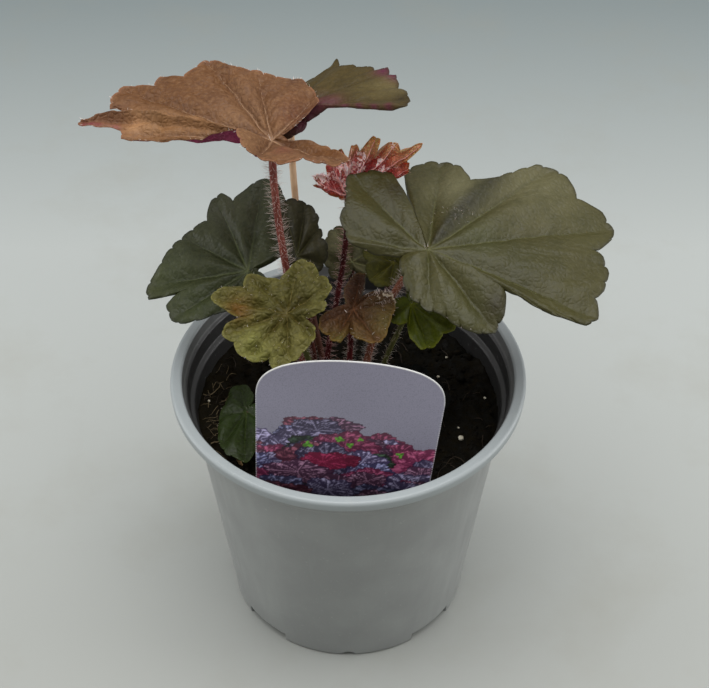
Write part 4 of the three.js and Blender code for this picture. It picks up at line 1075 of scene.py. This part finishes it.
# how far points of the blade are from the main veins or from the side veins
def veinFinder(network, wanted):
    return nearestTo([(p[0] + (q[0] - p[0]) * t, p[1] + (q[1] - p[1]) * t) for path, weight, _ in network
                      if weight == wanted for p, q in zip(path, path[1:]) for t in (0, 0.33, 0.67)])


# how thick the blade is: thin at its edge, and full some millimetres in
def thicknessAt(leaf, inward):
    return leaf["thin"] + (leaf["thick"] - leaf["thin"]) * np.clip(inward / 6, 0, 1)


# relief of the skin besides the form: a fold along each main vein, a groove along each side vein, ripples, and
# waves along the edge
def reliefAt(leaf, x, y, s, inward, toMain, toSide):
    calm = np.clip(s * 6, 0, 1) * np.clip(inward / 2.5, 0, 1)
    fold = leaf["fold"] * (0.5 - np.exp(-(toMain / leaf["foldWidth"]) ** 2))
    groove = -leaf["groove"] * np.exp(-(toSide / 0.9) ** 2)
    relief = calm * (fold + groove + leaf["ripple"] * rippled(x, y, leaf["name"], leaf["rippleLength"]))
    return relief + leaf["edgeWave"] * rippled(x, y, leaf["name"] + "edge", 7) * np.exp(-(inward / 2.2) ** 2)


def makeBlade(leaf, edge, mainVein, sideVein, materials):
    count = len(edge["angle"])
    ringCount = int(np.clip(edge["reach"].max() / leaf["ringSpacing"], 14, 56))
    shares = [1, 1 - 0.3 / ringCount] + [1 - k / ringCount for k in range(1, ringCount)]
    rings, parts, total = [], [], 0
    for s in shares:
        step = 1 if s > 0.5 else 2 if s > 0.25 else 4 if s > 0.12 else 8
        picked = [i for i in range(count) if i % step == 0 or edge["dip"][i]]
        angle, reach, rise = edge["angle"][picked], edge["reach"][picked], edge["rise"][picked]
        out = reach * s - edge["bite"][picked] * np.clip((s - 0.8) / 0.2, 0, 1) ** 1.5
        rings.append((picked, total))
        total += len(picked)
        parts.append(np.stack([out * np.cos(np.radians(angle)), out * np.sin(np.radians(angle)),
                               bladeHeight(leaf, angle, s, rise), np.full(len(picked), s), (1 - s) * reach], 1))
    x, y, z, s, inward = np.concatenate(parts + [np.zeros((1, 5))]).T
    inward[-1] = 5
    toMain, toSide = mainVein(x, y), sideVein(x, y)
    z = z + reliefAt(leaf, x, y, s, inward, toMain, toSide)
    flat = np.stack([x, y, z], 1)
    faces = []
    for (outerIds, outerStart), (innerIds, innerStart) in zip(rings, rings[1:]):
        faces += stitch(outerIds, innerIds, count, outerStart, innerStart)
    lastIds, lastStart = rings[-1]
    faces += [(lastStart + i, lastStart + (i + 1) % len(lastIds), total) for i in range(len(lastIds))]
    size, top = len(flat), len(faces)
    faces += [(a + size, c + size, b + size) for a, b, c in faces]
    slots = [0] * top + [1] * top
    for i in range(count):
        j = (i + 1) % count
        faces += [(i, size + i, size + j), (i, size + j, j)]
    slots += [0] * 2 * count
    lower = flat - np.stack([x * 0, y * 0, thicknessAt(leaf, inward)], 1)
    u, v, n = bladeAxes(leaf)
    local = np.concatenate([flat, lower])
    placed = np.array(leaf["at"]) + local[:, :1] * u + local[:, 1:2] * v + local[:, 2:] * n
    outward = local[:, :1] * u + local[:, 1:2] * v
    outward /= np.maximum(np.linalg.norm(outward, axis=1, keepdims=True), 1e-6)
    rim, fuzz = np.exp(-(inward / 0.7) ** 2), leaf["fuzz"]
    fuzzy = fuzz["rim"] * np.exp(-(inward / 0.5) ** 2) + fuzz["top"]
    for cx, cy, radius, extra in fuzz["patches"]:
        fuzzy = fuzzy + extra * np.exp(-((x - cx) ** 2 + (y - cy) ** 2) / radius ** 2)
    tint = np.zeros((size, 4))
    for colour, amount, cx, cy, radius in leaf["paint"]["tints"]:
        cover = amount * np.exp(-(((x - cx) ** 2 + (y - cy) ** 2) / radius ** 2) ** 0.8)[:, None]
        alpha = cover + tint[:, 3:] * (1 - cover)
        blend = rgb(colour) * cover + tint[:, :3] * tint[:, 3:] * (1 - cover)
        tint = np.concatenate([blend / np.maximum(alpha, 1e-6), alpha], 1)
    veinNear = np.maximum(np.exp(-(toMain / 0.8) ** 2), 0.35 * np.exp(-(toSide / 0.5) ** 2)) * (1 - s) ** 0.6
    attributes = {
        "veinNear": np.tile(veinNear, 2), "rimNear": np.tile(rim, 2), "tint": np.tile(tint, (2, 1)),
        "tintAmount": np.tile(tint[:, 3], 2), "fuzz": np.concatenate([fuzzy, fuzzy * fuzz["under"]]),
        "nap": np.tile(np.where(inward < 1.2, fuzz["rimLength"], fuzz["topLength"]), 2),
        "lean": np.concatenate([outward[:size] * 2.2 * rim[:, None], outward[size:] * 0.4])}
    mesh = makeMesh(leaf["name"], placed, faces, attributes, slots, sharp=60)
    return addPiece(leaf["name"] + "Blade", mesh, materials)


# the network laid on the blade's upper or lower face
def veinPaths(leaf, edge, network, mainVein, sideVein, below):
    u, v, n = bladeAxes(leaf)
    paths = []
    for path, weight, length in network:
        if weight < 1 and (length < 5 or not below):
            continue
        x, y = np.array(path).T
        angle = np.degrees(np.arctan2(y, x))
        reach = around(angle, edge, "reach")
        s = np.clip(np.hypot(x, y) / reach, 0, 1)
        inward = (1 - s) * reach
        z = bladeHeight(leaf, angle, s, around(angle, edge, "rise"))
        z = z + reliefAt(leaf, x, y, s, inward, mainVein(x, y), sideVein(x, y))
        girth = (0.34 if below else leaf["veinGirth"]) * weight * (1 - 0.8 * np.linspace(0, 1, len(path)))
        z = z - (thicknessAt(leaf, inward) - 0.15 * girth if below else 0.55 * girth)
        placed = np.array(leaf["at"]) + x[:, None] * u + y[:, None] * v + z[:, None] * n
        paths.append(list(zip(placed, girth)))
    return paths


# swollen at its foot, and narrower where it runs out into the blade
def stemPath(leaf):
    stem = leaf["stem"]
    foot = Vector((*stem["foot"], leaf["footHeight"]))
    head = Vector(leaf["at"]) - Vector(bladeAxes(leaf)[2]) * 0.6
    a, b = foot + Vector(stem["rise"]), head - Vector(stem["arrive"])
    points = []
    for k in range(45):
        t = k / 44
        p = foot * (1 - t) ** 3 + a * 3 * t * (1 - t) ** 2 + b * 3 * t * t * (1 - t) + head * t ** 3
        girth = 1 + 0.35 * max(0, 1 - t / 0.12) - 0.06 * math.sin(3.1 * t) - 0.35 * max(0, (t - 0.97) / 0.03)
        points.append((tuple(p), stem["radius"] * girth))
    return points


# living leaf, a thin waxy skin over soft tissue: dull satin, with a fine net of veins pressed into it
def leafSkin(paint):
    base, dark, light, vein, rim = paint["skin"]
    rough = paint["rough"]
    material, tree, place = newFinish("waxy" + paint["kind"] + "Leaf")
    cloud = addNode(tree, "ShaderNodeTexNoise", {"Vector": place, "Scale": 95.0, "Detail": 5.0, "Roughness": 0.6})
    speck = addNode(tree, "ShaderNodeTexNoise", {"Vector": place, "Scale": 620.0, "Detail": 4.0, "Roughness": 0.65})
    blotch = addNode(tree, "ShaderNodeTexNoise", {"Vector": place, "Scale": 34.0, "Detail": 2.0})
    mesh = addNode(tree, "ShaderNodeTexVoronoi", {
        "feature": "DISTANCE_TO_EDGE", "Vector": place, "Scale": 1000 / paint["net"]})
    tint, amount, near, edge, fuzz = (
        addNode(tree, "ShaderNodeAttribute", {"attribute_name": key}).outputs["Fac" if key != "tint" else "Color"]
        for key in ("tint", "tintAmount", "veinNear", "rimNear", "fuzz"))
    wisp = addNode(tree, "ShaderNodeTexNoise", {"Vector": place, "Scale": 560.0, "Detail": 2.0, "Distortion": 1.2})
    down = addNode(tree, "ShaderNodeMath", {"operation": "MULTIPLY", 0: wisp, 1: fuzz})
    cell = addNode(tree, "ShaderNodeMapRange", {0: mesh, 1: 0, 2: 0.3})
    relief = addNode(tree, "ShaderNodeMath", {"operation": "MULTIPLY_ADD", 0: speck, 1: 0.35, 2: cell})
    return finished(
        material, {"IOR": 1.42, "Specular IOR Level": paint["shine"], "Subsurface Weight": paint["glow"],
                   "Subsurface Radius": (0.004, 0.001, 0.0006), "Subsurface Scale": 1.0},
        base, [(amount, tint, 0, 1, 1), (blotch, light, 0.45, 0.7, 0.35), (cloud, dark, 0.46, 0.68, 0.7),
               (speck, light, 0.5, 0.75, 0.6), (speck, dark, 0.48, 0.3, 0.6), (amount, tint, 0, 1, 0.5),
               (mesh, dark, 0.14, 0, paint["netAmount"]), (near, dark, 0.05, 0.4, 0.4),
               (near, vein, 0.45, 1, paint["veinAmount"]), (edge, rim, 0, 1, paint["rimAmount"]),
               (down, paint.get("down", light), 0.44, 0.5, 0.95)],
        (speck, 0.3, 0.7, rough - 0.06, rough + 0.08), (relief, paint["bump"], 0.00035))


# underside: no wax, matt, with the raised net of veins and the purple of its sap
def leafUnderside(kind, base, dark, vein):
    material, tree, place = newFinish("matt" + kind + "Underside")
    cloud = addNode(tree, "ShaderNodeTexNoise", {"Vector": place, "Scale": 130.0, "Detail": 4.0})
    mesh = addNode(tree, "ShaderNodeTexVoronoi", {"feature": "DISTANCE_TO_EDGE", "Vector": place, "Scale": 520.0})
    near = addNode(tree, "ShaderNodeAttribute", {"attribute_name": "veinNear"}).outputs["Fac"]
    raised = addNode(tree, "ShaderNodeMapRange", {0: mesh, 1: 0.2, 2: 0})
    return finished(material, {"Roughness": 0.6, "Specular IOR Level": 0.25}, base, [
        (cloud, dark, 0.4, 0.65, 0.8), (mesh, vein, 0.12, 0, 0.35), (near, vein, 0, 1, 0.5)],
        relief=(raised, 0.5, 0.0003))


# juicy flesh in a thin skin, streaked along its length, and redder and darker towards its foot: partly its own colour,
# partly painted shade
def fleshFinish(name, base, dark, light, foot=None):
    material, tree, place = newFinish(name)
    drawn = addNode(tree, "ShaderNodeMapping", {"Vector": place, "Scale": (1, 1, 0.12)})
    streak = addNode(tree, "ShaderNodeTexNoise", {"Vector": drawn, "Scale": 900.0, "Detail": 3.0})
    cloud = addNode(tree, "ShaderNodeTexNoise", {"Vector": place, "Scale": 110.0, "Detail": 3.0})
    height = addNode(tree, "ShaderNodeSeparateXYZ", {0: place}).outputs[2]
    coats = [(cloud, dark, 0.4, 0.65, 0.8), (streak, light, 0.45, 0.75, 0.6)]
    return finished(
        material, {"Roughness": 0.5, "IOR": 1.4, "Specular IOR Level": 0.3, "Subsurface Weight": 0.1,
                   "Subsurface Radius": (0.002, 0.0008, 0.0005)},
        base, coats + ([(height, foot, 0.168, 0.145, 0.95)] if foot else []), relief=(streak, 0.3, 0.0002))


# plant hairs: clear cells that catch the light as pale threads
def hairFinish(name, tip, foot):
    return cloudedFinish(name, foot, tip, 260.0, 0.35, 0.65, 1, 2.0, {
        "Roughness": 0.35, "Subsurface Weight": 0.15, "Subsurface Radius": (0.001, 0.0007, 0.0006)})


hairFinishes = {name: hairFinish(name + "LeafHair", *colours) for name, colours in {
    "pale": ("#efe4dc", "#c4aca0"), "pink": ("#f0cfc8", "#c88a84")}.items()}
# the tan stem's fourth colour darkens it from 168 mm down: partly its red foot, partly painted shade
stemFinishes = {name: fleshFinish(name + "StemFlesh", *colours) for name, colours in {
    "red": ("#783c34", "#5a2622", "#94584a"), "tan": ("#d2ae8c", "#b89070", "#e2c6a8", "#4a241b"),
    "maroon": ("#481013", "#300a09", "#601e1c"), "orangePink": ("#84503c", "#683a2c", "#a07058"),
    "green": ("#50502a", "#3c3c1c", "#686a40"), "brownRed": ("#4e2822", "#34180f", "#6a3e34")}.items()}


def makeLeaf(leaf):
    name, paint, fuzz = leaf["name"], leaf["paint"], leaf["fuzz"]
    edge = fineEdge(leaf, 6 if leaf["tooth"] > 5.2 else 5)
    network = veinNetwork(leaf, edge)
    light, vein = paint["skin"][2:4]
    under, _, underVein = paint["under"]
    ribs = fleshFinish(paint["kind"].lower() + "Veins", vein, vein, light)
    underRibs = fleshFinish(paint["kind"].lower() + "UnderVeins", underVein, under, underVein)
    mainVein, sideVein = veinFinder(network, 1.0), veinFinder(network, 0.5)
    skin = leafSkin(paint)
    blade = makeBlade(leaf, edge, mainVein, sideVein, [
        skin, skin if paint["alike"] else leafUnderside(paint["kind"], *paint["under"])])
    stem = rods(name + "Stem", [stemPath(leaf)], stemFinishes[paint["stem"]], sides=14)
    count = len(stem.data.vertices)
    addAttributes(stem.data, {"fuzz": np.full(count, fuzz["stem"]), "nap": np.full(count, fuzz["stemLength"]),
                              "lean": np.tile((0, 0, 0.3), (count, 1))})
    tufts = [runTree(scatterOverSurface, part, name + ending, {
        "Shape": shape, "Density": 1.0e6, "Spread": spread, "Seed": len(name),
        "Material": hairFinishes[fuzz["hair"]]})
        for part, ending, shape, spread in ((blade, "Down", stoutHair, 0.6), (stem, "Bristles", hair, 0.35))]
    for bare in [tuft for tuft in tufts if not trianglesOf(tuft)]:
        tufts.remove(bare)
        bpy.data.objects.remove(bare)
    upper = veinPaths(leaf, edge, network, mainVein, sideVein, False)
    lower = veinPaths(leaf, edge, network, mainVein, sideVein, True)
    whole = joined(name + "Blade", [blade, stem, rods(name + "Veins", upper, ribs, sides=6),
                                    rods(name + "UnderVeins", lower, underRibs, sides=6)])
    settle(whole, name)
    if tufts:
        settle(joined(name + "Hairs", tufts))


for leaf in leaves:
    makeLeaf({**plainLeaf, **leaf, "paint": {**plainPaint, **leaf["paint"]}, "fuzz": {**plainFuzz, **leaf["fuzz"]}})

# Floor, light and camera
# the floor's near, middle and far colours paint light and shade: lightest over the middle, darkest far off
studio = dict(floorNear="#9c9e9a", floorMiddle="#a2a6a4", floorFarShade="#7d8687", floorStain="#8c8a7e",
              fill="#f2f3f1", fillPower=0.5,
              lamps=[("overheadSoftbox", (0, -60, 940), (0, 0, 110), 900, 9.5),
                     ("leftSoftbox", (-650, 60, 260), (0, 0, 100), 450, 1.6),
                     ("rightSoftbox", (650, 60, 260), (0, 0, 100), 450, 2.2)],
              lens=91.4, pitch=43, distance=648, aim=(2.3, 0, 122.3))


def makeStudio():
    floor = addPiece("studioFloor", makeMesh("studioFloor", [
        (-2500, -2500, -0.5), (2500, -2500, -0.5), (2500, 2500, -0.5), (-2500, 2500, -0.5)], [(0, 1, 2, 3)]))
    material, tree, place = newFinish("paintedBoard")  # matt, painted lighter over the middle and darker far off as painted light and shade, with faint stains
    along = addNode(tree, "ShaderNodeSeparateXYZ", {0: place}).outputs[1]
    stain = addNode(tree, "ShaderNodeTexNoise", {"Vector": place, "Scale": 14.0, "Detail": 6.0, "Roughness": 0.65})
    floor.data.materials.append(finished(material, {"Roughness": 0.8}, studio["floorNear"], [
        (along, studio["floorMiddle"], -0.06, 0.2, 1), (along, studio["floorFarShade"], 0.2, 0.42, 1),
        (stain, studio["floorStain"], 0.5, 0.8, 0.3)]))
    world = bpy.data.worlds.new("studioFill")
    bpy.context.scene.world = world
    world.use_nodes = True
    world.node_tree.nodes["Background"].inputs[0].default_value = linear(studio["fill"])
    world.node_tree.nodes["Background"].inputs[1].default_value = studio["fillPower"]
    for name, place, aim, size, power in studio["lamps"]:
        lamp = bpy.data.lights.new(name, "AREA")
        lamp.size, lamp.energy = size * mm, power
        light = bpy.data.objects.new(name, lamp)
        light.location = Vector(place) * mm
        light.rotation_euler = (Vector(aim) - Vector(place)).to_track_quat("-Z", "Y").to_euler()
        bpy.context.scene.collection.objects.link(light)


def makeCamera():
    camera = bpy.data.cameras.new("camera")
    camera.sensor_width, camera.lens, camera.clip_start = 36, studio["lens"], 0.01
    shot = bpy.data.objects.new("camera", camera)
    pitch = math.radians(studio["pitch"])
    back = Vector((0, -math.cos(pitch), math.sin(pitch))) * studio["distance"]
    shot.location = (Vector(studio["aim"]) + back) * mm
    shot.rotation_euler = (math.pi / 2 - pitch, 0, 0)
    bpy.context.scene.collection.objects.link(shot)
    bpy.context.scene.camera = shot
    bpy.context.scene.view_settings.view_transform = "Standard"


makeStudio()
makeCamera()
for shape in shapes:
    bpy.data.objects.remove(shape)
